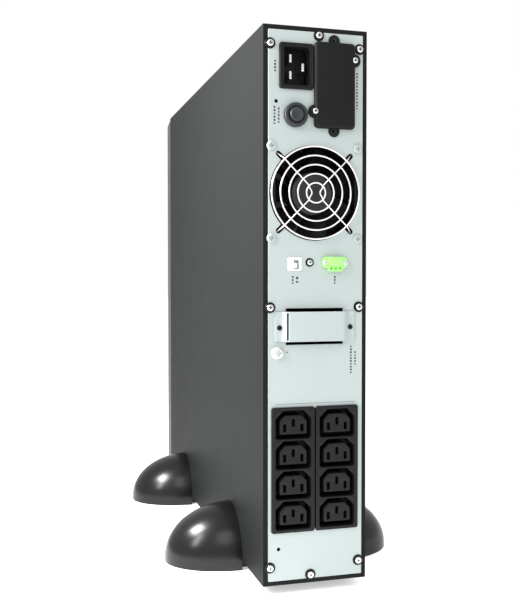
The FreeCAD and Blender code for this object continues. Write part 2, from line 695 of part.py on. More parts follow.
def fan_guard():
    """Five wire rings before the panel, two bent wires across them that dip through the lobes
    of the fan window, and four screw eyes behind the panel."""
    wire, x, z = D["guard_wire"], D["fan_x"], D["fan_z"]
    front, back = FACE + D["guard_proud"], LIP_Y - D["gap"] - wire
    parts = [wire_ring((x, front, z), D["guard_first"] + D["guard_pitch"] * step)
             for step in range(5)]
    eye = D["screw_hole"] + wire + 0.2
    parts += [wire_ring((px, back, pz), eye) for px, pz in fan_screw_places()]
    start, end = D["dip_start"] * DIAGONAL, D["dip_end"] * DIAGONAL
    last = D["fan_screw"] - eye * DIAGONAL
    leg = [(D["knee"], front), (start, front), (end, back), (last, back)]
    for side in (1, -1):
        apex = (x + D["apex"] * side, front, z)
        for way in (1, -1):
            path = [apex] + [(x + reach * side, y, z + reach * way) for reach, y in leg]
            parts += wire_run(path)
    node(fuse(parts), "fan_guard")


def wire_run(path):
    """Straight wires through the points of a path, with a ball at each."""
    parts = [wire_ball(point) for point in path[:-1]]
    for here, after in zip(path, path[1:]):
        along = FreeCAD.Vector(*(size(b - a).number for a, b in zip(here, after)))
        turn = FreeCAD.Rotation(FreeCAD.Vector(0, 0, 1), along)
        parts.append(rod(here, D["guard_wire"], along.Length, turn=turn))
    return parts


def wire_ball(position):
    ball = DOC.addObject("Part::Sphere", "ball")
    bind(ball, "Radius", D["guard_wire"])
    place(ball, position)
    return ball


def wire_ring(position, radius):
    ring = DOC.addObject("Part::Torus", "ring")
    ring.Placement = FreeCAD.Placement(FreeCAD.Vector(), TURNS["Y"])
    bind(ring, "Radius1", radius)
    bind(ring, "Radius2", D["guard_wire"])
    place(ring, position)
    return ring


def fan_screws():
    screws = [pan_screw(x, z, FACE, 3.6, 1.8, 1.9, 14) for x, z in fan_screw_places()]
    node(group(screws), "fan_screws")


# ---------------------------------------------------------------- communication ports

def usb_port():
    """Square-bodied data socket with a mouth that bends round a tongue."""
    body = new_body("usb_port")
    x, z, side, deep = D["usb_x"], D["port_z"], D["usb_side"], D["usb_deep"]
    pad(body, "XZ_Plane", (x, REAR - deep, z), rectangle(side, side), deep + D["sheet"] + 0.6)
    mouth = REAR + D["sheet"] + 0.6
    far, near, tip = -4.2, 1, -1.8
    pocket(body, "XZ_Plane", (x, mouth - 9, z), polygon([
        (far, -4.1), (near, -4.1), (near, -2.9), (tip, -2.9), (tip, 0.6), (near, 0.6),
        (near, 3.1), (far, 3.1)]), 9)


def comm_board():
    """Board that carries both ports, its angle bracket and the screw that holds it."""
    top, thick = D["board_top"], D["board_thick"]
    node(box((-32, REAR - 96, top - thick), (60, 95.5, thick)), "comm_board")
    x, height = comm_screw_place()
    tab = box((x - 4.5, REAR - D["sheet"], top), (9, D["sheet"], 11.5))
    sole = box((x - 4.5, REAR - 12, top), (9, 12 - D["sheet"], D["sheet"]))
    hole = rod((x, REAR - 3, height), 1.6, 6)
    node(cut(fuse([tab, sole]), [hole]), "comm_bracket")
    node(pan_screw(x, height, FACE, 3.4, 1.9, 1.5, 6), "comm_screw")


def epo_terminal():
    """Emergency-off terminal: socket on the board and the plug that pulls out of it."""
    z, wide, tall = D["port_z"], D["epo_wide"], D["epo_tall"]
    nose_wide, nose_tall, room = D["epo_nose_wide"], D["epo_nose_tall"], D["epo_room"]
    rise, flange = D["epo_ear_rise"], D["epo_flange"]
    ears = [(D["epo_ear"] * side, rise) for side in (1, -1)]
    socket = new_body("epo_socket")
    pad(socket, "XZ_Plane", (EPO_X, REAR - 12, z), rectangle(wide, tall), 12)
    pocket(socket, "XZ_Plane", (EPO_X, REAR - 9, z),
           rectangle(nose_wide + room * 2, nose_tall + room * 2), 9)
    pocket(socket, "XZ_Plane", (EPO_X, REAR - 9, z),
           several([circle(1.4, spot) for spot in ears]), 9)

    plug = new_body("epo_plug")
    seat = FACE + room
    pad(plug, "XZ_Plane", (EPO_X, REAR - 8, z), rectangle(nose_wide, nose_tall),
        seat - REAR + 8)
    pad(plug, "XZ_Plane", (EPO_X, seat, z + rise), rounded(wide, 9, 4.4), flange)
    pad(plug, "XZ_Plane", (EPO_X, seat, z), rectangle(D["epo_block_wide"], D["epo_block_tall"]),
        D["epo_reach"] - D["sheet"] - room)
    entries = [rectangle(2.6, 2.8, (3.8 * column, -2.9)) for column in (-1, 0, 1)]
    pocket(plug, "XZ_Plane", (EPO_X, seat + 1, z), several(entries), 10)
    holes = [circle(1.1, (x, height)) for x, height in ears]
    pocket(plug, "XZ_Plane", (EPO_X, seat - 1, z), several(holes), 8)
    screws = [fuse([rod((EPO_X + x, seat + flange, z + height), 1.9, 1.2),
                    rod((EPO_X + x, REAR - 5, z + height), 1, seat - REAR + flange + 5.5)])
              for x, height in ears]
    node(group(screws), "epo_plug_screws")


# ---------------------------------------------------------------- battery port and ground

def battery_port():
    """Bent strap over the port opening, its two screws and the connector behind."""
    z, tall, rise, sheet = D["strap_z"], D["strap_tall"], D["strap_rise"], D["sheet"]
    half, face, foot = D["strap_half"], D["strap_face"], D["strap_foot"]
    strap = new_body("battery_port_cover")
    outer = [(half, sheet), (foot, sheet), (face, rise + sheet)]
    inner = [(face + 0.6, rise), (foot + 0.6, 0), (half, 0)]
    outline = outer + [(-x, y) for x, y in reversed(outer)]
    outline += [(-x, y) for x, y in reversed(inner)] + inner
    pad(strap, "XY_Plane", (D["strap_x"], FACE, z - tall / 2), polygon(outline), tall)
    holes = [circle(D["lug_hole"], spot) for spot in strap_screws()]
    pocket(strap, "XZ_Plane", (0, FACE - 1, 0), several(holes), 3)
    bend = (D["strap_x"] + face - D["strap_slit"] / 10, FACE - 1, z)
    relief = rectangle(D["strap_slit"], tall - D["strap_tab"] * 2)
    pocket(strap, "XZ_Plane", bend, relief, rise + 4)
    screws = [fuse([rod((px, FACE + sheet, pz), 2, 0.8), rod((px, FACE - 5, pz), 1.5, 6.5)])
              for px, pz in strap_screws()]
    node(group(screws), "battery_port_screws")
    connector = new_body("battery_connector")
    pad(connector, "XZ_Plane", (D["strap_x"], REAR - 26, z), rectangle(44, 20), 25)
    mouths = [rectangle(15, 10, (10 * side, 0)) for side in (1, -1)]
    pocket(connector, "XZ_Plane", (D["strap_x"], REAR - 15, z), several(mouths), 14)


def ground_terminal():
    x, z = D["ground_x"], D["ground_z"]
    washer = cut(rod((x, FACE, z), 5, 0.8), [rod((x, FACE - 1, z), 2.6, 4)])
    node(washer, "ground_washer")
    node(pan_screw(x, z, FACE + 0.8, D["ground_head"], 3, 2.5, 10), "ground_screw")


# ---------------------------------------------------------------- outlets

def outlet_outline(wide, tall, bevel):
    """Outlet shape with its two upper corners cut, about the outlet's middle."""
    half, rise = wide / 2, tall / 2
    return [(-half, -rise), (half, -rise), (half, rise - bevel), (half - bevel, rise),
            (-half + bevel, rise), (-half, rise - bevel)]


def slit_places():
    """The three slots of an outlet, from its middle."""
    return [(-D["slit_across"], -D["slit_drop"]), (D["slit_across"], -D["slit_drop"]),
            (size(0), D["slit_rise"])]


def outlet_strip(name, side):
    """Four outlets in one moulding, with their spring contacts as a second node."""
    body = new_body(f"outlet_strip_{name}")
    x, proud, deep = strip_middle(side), D["strip_proud"], D["strip_deep"]
    mouth = FACE + proud
    pad(body, "XZ_Plane", (x, FACE, D["strip_z"]),
        rounded(D["strip_wide"], D["strip_tall"], 2), proud)
    pad(body, "XZ_Plane", (x, REAR - deep, D["strip_z"]),
        rectangle(D["strip_wide"] - D["strip_rim"] * 2, D["strip_tall"] - D["strip_rim"] * 2),
        deep + D["sheet"])
    for z in row_heights():
        groove = outlet_outline(D["groove_wide"], D["groove_tall"], D["outlet_chamfer"] + 1)
        island = outlet_outline(D["island_wide"], D["island_tall"], D["outlet_chamfer"])
        pocket(body, "XZ_Plane", (x, mouth - 16, z),
               several([polygon(groove), polygon(island)]), 16)
        slits = [rectangle(D["slit_wide"], D["slit_tall"], spot) for spot in slit_places()]
        pocket(body, "XZ_Plane", (x, REAR - deep + 2, z), several(slits),
               deep + D["sheet"] + proud)
    contacts = [box((x + px - 0.9, REAR - deep + 2, z + pz - 2.4), (1.8, 8, 4.8))
                for z in row_heights() for px, pz in slit_places()]
    node(group(contacts), f"outlet_contacts_{name}")


# ---------------------------------------------------------------- front

def bezel_outline(inset, back, front):
    """Side view of the bezel: its top and bottom draw in towards the front."""
    draw_in = D["bezel_taper"]
    return polygon([(back, FLOOR + inset), (front, FLOOR + inset + draw_in),
                    (front, ROOF - inset - draw_in), (back, ROOF - inset)])


def front_bezel():
    """Hollow moulding that pulls off forwards, with snap sockets, window and louvres."""
    body = new_body("front_bezel")
    wall, wide, back = D["bezel_wall"], D["case_width"], BODY_FRONT - D["bezel_gap"]
    pad(body, "YZ_Plane", (-HALF_WIDTH, 0, 0), bezel_outline(0, back, FRONT), wide)
    pocket(body, "YZ_Plane", (wall - HALF_WIDTH, 0, 0),
           bezel_outline(wall, back, FRONT + wall), wide - wall * 2)
    for x, z in stud_places():
        base = (x, FRONT + 8, z)
        pad(body, "XZ_Plane", base, circle(D["stud_radius"] + 2), 9)
        pocket(body, "XZ_Plane", base, circle(D["stud_radius"] + 0.3), 9)
    louvres = [rectangle(2.5, 120, (-27.5 + 5 * step, stack_middle() + 70 * row))
               for step in range(12) for row in (1, -1)]
    pocket(body, "XZ_Plane", (0, FRONT, 0), several(louvres), wall)
    pocket(body, "XZ_Plane", (0, FRONT, D["display_z"] + D["lcd_rise"]),
           rectangle(D["lcd_wide"] + 4, D["lcd_tall"] + 4), wall)
    keys = [circle(D["key_radius"] + D["key_room"], (x, D["key_z"])) for x in key_places()]
    pocket(body, "XZ_Plane", (0, FRONT, 0), several(keys), wall)
    lens = box((-D["lcd_wide"] / 2 - 1.9, FRONT + 0.4, lcd_middle() - D["lcd_tall"] / 2 - 1.9),
               (D["lcd_wide"] + 3.8, 1.5, D["lcd_tall"] + 3.8))
    node(lens, "display_window")


def lcd_middle():
    return D["display_z"] + D["lcd_rise"]


def bezel_studs():
    """Ball-headed posts on the front plate that the bezel snaps on to."""
    studs = []
    for x, z in stud_places():
        ball = DOC.addObject("Part::Sphere", "ball")
        bind(ball, "Radius", D["stud_radius"])
        place(ball, (x, BODY_FRONT - 8, z))
        studs.append(fuse([ball, rod((x, BODY_FRONT - 8, z), D["screw_shank"], 10)]))
    node(group(studs), "bezel_studs")


def display_module():
    """Housing on the front plate with the screen, the key board and three keys."""
    wide, tall, deep = D["display_wide"], D["display_tall"], D["display_deep"]
    front, z = BODY_FRONT - deep, D["display_z"]
    housing = new_body("display_housing")
    pad(housing, "XZ_Plane", (0, front, z), rectangle(wide, tall), deep)
    pocket(housing, "XZ_Plane", (0, front + 2, z), rectangle(wide - 4, tall - 4), deep - 2)
    pocket(housing, "XZ_Plane", (0, front, lcd_middle()),
           rectangle(D["lcd_wide"], D["lcd_tall"]), 2)
    stems = [circle(2.8, (x, D["key_z"])) for x in key_places()]
    pocket(housing, "XZ_Plane", (0, front, 0), several(stems), 2)
    gap = D["gap"]
    node(box((-D["lcd_wide"] / 2 + gap, front - 0.8, lcd_middle() - D["lcd_tall"] / 2 + gap),
             (D["lcd_wide"] - gap * 2, 5, D["lcd_tall"] - gap * 2)), "lcd_panel")
    board = box((-wide / 2 + 2.4, front + 9, z - tall / 2 + 2.4),
                (wide - 4.8, D["board_thick"], tall - 4.8))
    domes = [rod((x, front + 7.6, D["key_z"]), 2, 1.6) for x in key_places()]
    node(fuse([board] + domes), "display_board")
    for name, x in zip(("power_key", "select_key", "mute_key"), key_places()):
        head = rod((x, FRONT + 0.2, D["key_z"]), D["key_radius"], 2.8)
        skirt = rod((x, FRONT + 2.9, D["key_z"]), 5.6, 1.4)
        stem = rod((x, FRONT + 4, D["key_z"]), 2.5, front + 6.2 - FRONT - 4)
        node(fuse([head, skirt, stem]), name)


def battery_door():
    """Plate screwed over the battery opening, under the bezel."""
    body = new_body("battery_door")
    y = BODY_FRONT - D["sheet"]
    pad(body, "XZ_Plane", (0, y, stack_middle()),
        rectangle(D["block_wide"] + 11, stack_tall() + 20), D["sheet"])
    holes = [circle(D["screw_shank"], spot) for spot in door_screws()]
    pocket(body, "XZ_Plane", (0, y - 1, 0), several(holes), THROUGH)


# ---------------------------------------------------------------- batteries

def batteries():
    """Four sealed blocks, two high and two deep, in a sheet tray that slides forwards."""
    wide, tall, deep = D["block_wide"], D["block_tall"], D["block_deep"]
    front, gap = BODY_FRONT + D["sheet"] + 1.8, D["stack_gap"]
    for number, (row, column) in enumerate(((0, 0), (0, 1), (1, 0), (1, 1)), start=1):
        low = (-wide / 2, front + (deep + gap) * column, D["stack_z"] + (tall + gap) * row)
        case = box(low, (wide - 6, deep, tall))
        tabs = [box((wide / 2 - 6, low[1] + deep / 2 - 3, low[2] + tall * share), (5, 6, 8))
                for share in (0.12, 0.82)]
        node(fuse([case] + tabs), f"battery_block_{number}")
    sheet, length = D["sheet"], deep * 2 + gap + 1
    low_z, high_z = D["stack_z"] - sheet, D["stack_z"] + stack_tall()
    base = box((-wide / 2 - sheet, front, low_z), (sheet, length, stack_tall() + sheet * 2))
    walls = [box((-wide / 2, front, z), (40, length, sheet)) for z in (low_z, high_z)]
    node(fuse([base] + walls), "battery_tray")


# ---------------------------------------------------------------- power stage

def power_board():
    """Main board standing off the -X side, with its standoffs."""
    x, low, high = -D["board_x"], D["board_low"], D["board_high"]
    start = size(5)
    holes = [(y, z) for y in (12, 158) for z in (30, 150, 290, 416)]
    board = box((x - D["board_thick"], start, low),
                (D["board_thick"], D["board_back"] - start, high - low))
    node(board, "main_board")
    posts = [rod((-INNER, y, z), 3, INNER + x - D["board_thick"], "X") for y, z in holes]
    node(group(posts), "board_standoffs")


def heatsink():
    """Finned aluminium block in the fan's air path."""
    body = new_body("inverter_heatsink")
    x, deep, tall = -D["board_x"], D["sink_deep"], D["sink_tall"]
    low = (x, 30, D["sink_z"] - tall / 2)
    pad(body, "XY_Plane", low, rectangle(8, deep, (4, deep / 2)), tall)
    fins = [rectangle(56, 2, (36, 4 + 10.2 * index)) for index in range(11)]
    pad(body, "XY_Plane", low, several(fins), tall)


def power_parts():
    """Bus capacitors and the two ring chokes on the main board."""
    x = -D["board_x"]
    cans = [rod((x, 40 + 36 * column, 50 + 36 * row), 15, 50, "X")
            for row in range(4) for column in range(3)]
    node(group(cans), "bus_capacitors")
    chokes = []
    for z in (232, 394):
        ring = DOC.addObject("Part::Torus", "choke")
        ring.Placement = FreeCAD.Placement(FreeCAD.Vector(), TURNS["X"])
        bind(ring, "Radius1", 17)
        bind(ring, "Radius2", 8)
        place(ring, (x + 8, 40, z))
        chokes.append(ring)
    node(group(chokes), "power_chokes")


# ---------------------------------------------------------------- stands

def half_dome(side_x, reach, half, tall, rim):
    """Half ellipsoid on an upright rim, flat against the plane X = side_x."""
    dome = DOC.addObject("Part::Ellipsoid", "dome")
    dome.Placement = FreeCAD.Placement(
        FreeCAD.Vector(), FreeCAD.Rotation(FreeCAD.Vector(0, 0, 1), -90))
    for name, length in (("Radius1", tall - rim), ("Radius2", half), ("Radius3", reach)):
        bind(dome, name, length)
    for name, angle in (("Angle1", 0), ("Angle2", 90), ("Angle3", 180)):
        setattr(dome, name, angle)
    place(dome, (side_x, 0, rim))
    outline = DOC.addObject("Part::Ellipse", "outline")
    bind(outline, "MajorRadius", reach)
    bind(outline, "MinorRadius", half)
    place(outline, (side_x, 0, 0))
    wall = DOC.addObject("Part::Extrusion", "rim")
    wall.Base = outline
    wall.DirMode = "Custom"
    wall.Dir = FreeCAD.Vector(0, 0, 1)
    wall.Solid = True
    bind(wall, "LengthFwd", rim)
    behind = box((side_x - reach - 5, -half - 5, -5), (reach + 5, half * 2 + 10, rim + 10))
    return fuse([dome, cut(wall, [behind])])


def stand_half(name, y, turn):
    """One half of a stand: hollow dome beside the case and a tongue under it."""
    wall, tongue = D["foot_wall"], D["tongue_half"]
    shell = half_dome(HALF_WIDTH, D["dome_reach"], D["dome_half"], D["dome_tall"],
                      D["rim_tall"])
    hollow = half_dome(HALF_WIDTH + wall, D["dome_reach"] - wall * 2, D["dome_half"] - wall,
                       D["dome_tall"] - wall, D["rim_tall"])
    sole = box((0.15, -tongue, 0), (HALF_WIDTH - 0.15, tongue * 2, FLOOR))
    under = box((size(0.15) + wall, wall - tongue, 0),
                (HALF_WIDTH - 0.15 - wall * 2, tongue * 2 - wall * 2, FLOOR - wall))
    half = cut(fuse([shell, sole]), [hollow, under])
    half.Placement = FreeCAD.Placement(
        FreeCAD.Vector(), FreeCAD.Rotation(FreeCAD.Vector(0, 0, 1), turn))
    place(half, (0, y, 0))
    node(half, name)


def stands():
    for row, depth in (("rear", D["stand_rear"]), ("front", D["stand_front"])):
        for side, turn in (("left", 0), ("right", 180)):
            stand_half(f"stand_{row}_{side}", REAR - depth, turn)


# ---------------------------------------------------------------- whole model

def build():
    outer_cover()
    chassis_tray()
    front_plate()
    divider_plate()
    rear_panel()
    case_screws()
    inlet()
    breaker()
    slot()
    fan_frame()
    fan_rotor()
    fan_stator()
    fan_guard()
    fan_screws()
    usb_port()
    comm_board()
    epo_terminal()
    battery_port()
    ground_terminal()
    outlet_strip("left", 1)
    outlet_strip("right", -1)
    front_bezel()
    bezel_studs()
    display_module()
    battery_door()
    batteries()
    power_board()
    heatsink()
    power_parts()
    stands()
    DOC.recompute()


def check():
    """Stop on any failed feature, empty shape or pocket that cut nothing."""
    for item in DOC.Objects:
        if {"Invalid", "Error"} & set(item.State):
            raise RuntimeError(f"{item.Name} ({item.Label}) failed: {item.State}")
        if item.TypeId == "PartDesign::Pocket":
            if item.Shape.Volume > item.BaseFeature.Shape.Volume - 0.01:
                raise RuntimeError(f"{item.Name} cuts nothing")
    for item in NODES:
        if item.Shape.isNull() or not item.Shape.isValid() or not item.Shape.Solids:
            raise RuntimeError(f"{item.Label} has no valid solid")


def export():
    os.makedirs("parts", exist_ok=True)
    for item in NODES:
        item.Shape.exportStep(os.path.join("parts", item.Label + ".step"))
        bounds = item.Shape.BoundBox
        print(f"{item.Label:22s} solids {len(item.Shape.Solids):2d} "
              f"volume {item.Shape.Volume / 1000:9.2f} cm3 "
              f"x {bounds.XMin:7.1f} {bounds.XMax:7.1f} y {bounds.YMin:7.1f} {bounds.YMax:7.1f} "
              f"z {bounds.ZMin:7.1f} {bounds.ZMax:7.1f}")
    print(len(NODES), "nodes")


build()
check()
export()
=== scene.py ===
import math

import bmesh
import bpy
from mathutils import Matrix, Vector
from mathutils.geometry import delaunay_2d_cdt


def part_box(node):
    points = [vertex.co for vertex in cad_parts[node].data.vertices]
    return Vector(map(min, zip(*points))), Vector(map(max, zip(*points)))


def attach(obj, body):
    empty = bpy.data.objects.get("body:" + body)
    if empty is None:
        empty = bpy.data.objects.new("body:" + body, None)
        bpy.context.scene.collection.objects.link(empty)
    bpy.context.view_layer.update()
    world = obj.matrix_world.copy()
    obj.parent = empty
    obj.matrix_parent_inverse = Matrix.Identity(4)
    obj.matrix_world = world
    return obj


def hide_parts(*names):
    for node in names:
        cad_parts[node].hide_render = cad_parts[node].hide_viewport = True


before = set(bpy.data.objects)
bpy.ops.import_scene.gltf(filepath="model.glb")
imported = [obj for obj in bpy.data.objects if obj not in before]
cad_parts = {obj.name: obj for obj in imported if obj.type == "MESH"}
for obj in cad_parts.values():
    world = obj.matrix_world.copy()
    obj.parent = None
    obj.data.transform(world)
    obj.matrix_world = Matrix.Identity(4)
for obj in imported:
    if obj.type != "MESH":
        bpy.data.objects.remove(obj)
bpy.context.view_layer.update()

MM = 0.001
REAR_WAY, FRONT_WAY = 1, -1
KEYS = ("power_key", "select_key", "mute_key")


# ---------------------------------------------------------------- what the frame says

def box(node):
    """Low and high corner of a node, in mm."""
    low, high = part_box(node)
    return low / MM, high / MM


def middle(node):
    low, high = box(node)
    return (low + high) / 2


def centres(node):
    """Middle of each separate solid of a node, as (x, z) in mm."""
    return [((low.x + high.x) / 2, (low.z + high.z) / 2) for low, high in solids(node)]


def panel_face():
    """Depth of the rear panel's outer face, in mm."""
    return box("rear_panel")[1].y


def solids(node):
    """Low and high corner, in mm, of each separate solid of a node, from the top down."""
    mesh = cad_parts[node].data
    owner = {}
    keys = [tuple(round(c, 6) for c in vertex.co) for vertex in mesh.vertices]

    def root(key):
        while owner.setdefault(key, key) != key:
            key = owner[key]
        return key

    for polygon in mesh.polygons:
        first = root(keys[polygon.vertices[0]])
        for index in polygon.vertices[1:]:
            owner[root(keys[index])] = first
    groups = {}
    for key in set(keys):
        groups.setdefault(root(key), []).append(key)
    found = []
    for points in groups.values():
        low = Vector(map(min, zip(*points))) / MM
        high = Vector(map(max, zip(*points))) / MM
        found.append((low, high))
    return sorted(found, key=lambda pair: (-round(pair[1].z, 1), pair[0].x))


# ---------------------------------------------------------------- outlines, as (x, z) in mm

def circle(radius, centre=(0, 0), count=40):
    turns = [2 * math.pi * step / count for step in range(count)]
    return [(centre[0] + radius * math.cos(t), centre[1] + radius * math.sin(t)) for t in turns]


def polygon(corners, radius=0.0, steps=4):
    """Outline through corners, each rounded by an arc."""
    if not radius:
        return list(corners)
    outline = []
    for index, here in enumerate(corners):
        here = Vector(here)
        before = (Vector(corners[index - 1]) - here).normalized()
        after = (Vector(corners[(index + 1) % len(corners)]) - here).normalized()
        half = before.angle(after) / 2
        hub = here + (before + after).normalized() * radius / math.sin(half)
        start = here + before * radius / math.tan(half) - hub
        end = here + after * radius / math.tan(half) - hub
        sweep = start.angle_signed(end)
        for step in range(steps + 1):
            turn = -sweep * step / steps
            cos, sin = math.cos(turn), math.sin(turn)
            outline.append((hub.x + start.x * cos - start.y * sin,
                            hub.y + start.x * sin + start.y * cos))
    return outline


def rectangle(wide, tall, centre=(0, 0), radius=0.0, steps=4):
    x, z = centre
    return polygon([(x - wide / 2, z - tall / 2), (x + wide / 2, z - tall / 2),
                    (x + wide / 2, z + tall / 2), (x - wide / 2, z + tall / 2)], radius, steps)


def inset(outline, distance):
    """The outline moved inwards by a distance, with mitred corners."""
    follow = outline[1:] + outline[:1]
    area = sum(a[0] * b[1] - b[0] * a[1] for a, b in zip(outline, follow))
    side = distance if area > 0 else -distance
    moved = []
    for before, here, after in zip(outline[-1:] + outline[:-1], outline, follow):
        one = Vector(here) - Vector(before)
        two = Vector(after) - Vector(here)
        one = Vector((-one.y, one.x)).normalized()
        two = Vector((-two.y, two.x)).normalized()
        shift = (one + two) * side / (1 + one.dot(two))
        moved.append((here[0] + shift.x, here[1] + shift.y))
    return moved


def cross(reach, width, centre):
    """Plus sign with straight arms, the shape of a screw's recess."""
    a, b = width / 2, reach
    corners = [(a, a), (a, b), (-a, b), (-a, a), (-b, a), (-b, -a), (-a, -a), (-a, -b), (a, -b),
               (a, -a), (b, -a), (b, a)]
    return [(centre[0] + x, centre[1] + z) for x, z in corners]


# ---------------------------------------------------------------- building meshes, in mm

def ring(bm, outline, depth):
    return [bm.verts.new((x, depth, z)) for x, z in outline]


def bridge(bm, rings):
    for lower, upper in zip(rings, rings[1:]):
        for index in range(len(lower)):
            nearby = (index + 1) % len(lower)
            bm.faces.new((lower[index], lower[nearby], upper[nearby], upper[index]))


def fill(bm, loops):
    """Flat faces inside the first loop and outside the others."""
    if len(loops) == 1:
        bm.faces.new(loops[0])
        return
    corners, borders = [], []
    for loop in loops:
        borders.append(list(range(len(corners), len(corners) + len(loop))))
        corners += loop
    flat = [Vector((corner.co.x, corner.co.z)) for corner in corners]
    holes_left_out, closest = 2, 1e-6
    _, _, faces, origins, _, _ = delaunay_2d_cdt(flat, [], borders, holes_left_out, closest)
    for face in faces:
        bm.faces.new([corners[origins[index][0]] for index in face])


def lip(shape, depth, way, edge, steps=3):
    """Rows that round an edge over, from the wall at the full shape to the face at depth."""
    rows = []
    for step in range(steps + 1):
        turn = math.pi / 2 * step / steps
        rows.append((inset(shape, edge * (1 - math.cos(turn))),
                     depth - way * abs(edge) * (1 - math.sin(turn))))
    return rows


def relief(bm, loop, depth, features, way, back, through):
    """Fill the face in a loop, with the recesses and rises that stand in it.

    A feature is (shape, level, edge, features of its own)."""
    rims = []
    for shape, level, edge, inner in features:
        if (level - depth) * way < 0:
            rows = lip(shape, depth, way, -edge)[::-1] if edge else [(shape, depth)]
            rows.append((shape, level))
        else:
            rows = [(shape, depth)] + (lip(shape, level, way, edge) if edge
                                       else [(shape, level)])
        rings = [ring(bm, outline, y) for outline, y in rows]
        bridge(bm, rings)
        rims.append(rings[0])
        if level == back:
            through.append(rings[-1])
        else:
            relief(bm, rings[-1], level, inner, way, back, through)
    fill(bm, [loop] + rims)


def block(bm, outline, back, front, features=(), edge=0.3, stem=None):
    """Solid between two depths, with its front edges rounded over and a face full of features.

    A stem (how much narrower, its far end) stands behind it."""
    way = 1 if front > back else -1
    rows = [(outline, back)] + (lip(outline, front, way, edge) if edge else [(outline, front)])
    if stem:
        narrow = inset(outline, stem[0])
        rows = [(narrow, stem[1]), (narrow, back)] + rows
    rings = [ring(bm, shape, y) for shape, y in rows]
    bridge(bm, rings)
    through = []
    relief(bm, rings[-1], front, features, way, rows[0][1], through)
    fill(bm, [rings[0]] + through)


def lathe(bm, centre, profile, count=48):
    """Turned solid about a line along Y; the profile is (radius, depth) from one end on."""
    rings = [ring(bm, circle(radius, centre, count), depth) for radius, depth in profile]
    bridge(bm, rings)
    fill(bm, rings[:1])
    fill(bm, rings[-1:])


def arc(radius, start, end, hub=(0, 0), steps=8):
    """Points of an arc, with angles in degrees."""
    turns = [math.radians(start + (end - start) * step / steps) for step in range(steps + 1)]
    return [(hub[0] + radius * math.cos(t), hub[1] + radius * math.sin(t)) for t in turns]


def tubes(name, paths, radius):
    """Mesh of round wires along paths, each (points, closed)."""
    curve = bpy.data.curves.new(name, "CURVE")
    curve.dimensions = "3D"
    curve.bevel_depth = radius * MM
    curve.bevel_resolution = 3
    curve.use_fill_caps = True
    for points, closed in paths:
        spline = curve.splines.new("POLY")
        spline.points.add(len(points) - 1)
        for spot, point in zip(spline.points, points):
            spot.co = (*(c * MM for c in point), 1)
        spline.use_cyclic_u = closed
    holder = bpy.data.objects.new(name, curve)
    mesh = bpy.data.meshes.new_from_object(holder)
    bpy.data.objects.remove(holder)
    mesh.shade_smooth()
    return mesh


def piece(name, source, material, body="case", replaces=(), sharp=32):
    """Make an object of a bmesh in mm or of a ready mesh, and tie it to the frame."""
    if isinstance(source, bmesh.types.BMesh):
        bmesh.ops.recalc_face_normals(source, faces=source.faces)
        bmesh.ops.scale(source, vec=(MM, MM, MM), verts=source.verts)
        mesh = bpy.data.meshes.new(name)
        source.to_mesh(mesh)
        source.free()
        mesh.shade_smooth()
        mesh.set_sharp_from_angle(angle=math.radians(sharp))
    else:
        mesh = source
    thing = bpy.data.objects.new(name, mesh)
    bpy.context.scene.collection.objects.link(thing)
    mesh.materials.clear()
    mesh.materials.append(material)
    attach(thing, body)
    if replaces:
        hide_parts(*replaces)
    return thing


# ---------------------------------------------------------------- materials

def linear(code):
    """Linear colour of a hex code."""
    parts = [int(code[index:index + 2], 16) / 255 for index in (0, 2, 4)]
    return [c / 12.92 if c <= 0.04045 else ((c + 0.055) / 1.055) ** 2.4 for c in parts]


def noise(tree, size_mm, detail=2.0):
    """Noise in object space whose features are about size_mm across."""
    where = tree.nodes.new("ShaderNodeTexCoord")
    texture = tree.nodes.new("ShaderNodeTexNoise")
    texture.inputs["Scale"].default_value = 1 / (size_mm * MM)
    texture.inputs["Detail"].default_value = detail
    tree.links.new(where.outputs["Object"], texture.inputs["Vector"])
    return texture.outputs["Fac"]


def spread(tree, source, low, high):
    """A value that runs from low to high as the source runs over its usual range."""
    node = tree.nodes.new("ShaderNodeMapRange")
    node.inputs["From Min"].default_value = 0.3
    node.inputs["From Max"].default_value = 0.7
    node.inputs["To Min"].default_value = low
    node.inputs["To Max"].default_value = high
    tree.links.new(source, node.inputs["Value"])
    return node.outputs["Result"]


def tint(tree, source, dark, light):
    node = tree.nodes.new("ShaderNodeMix")
    node.data_type = "RGBA"
    node.inputs[6].default_value = (*dark, 1)
    node.inputs[7].default_value = (*light, 1)
    tree.links.new(source, node.inputs[0])
    return node.outputs[2]


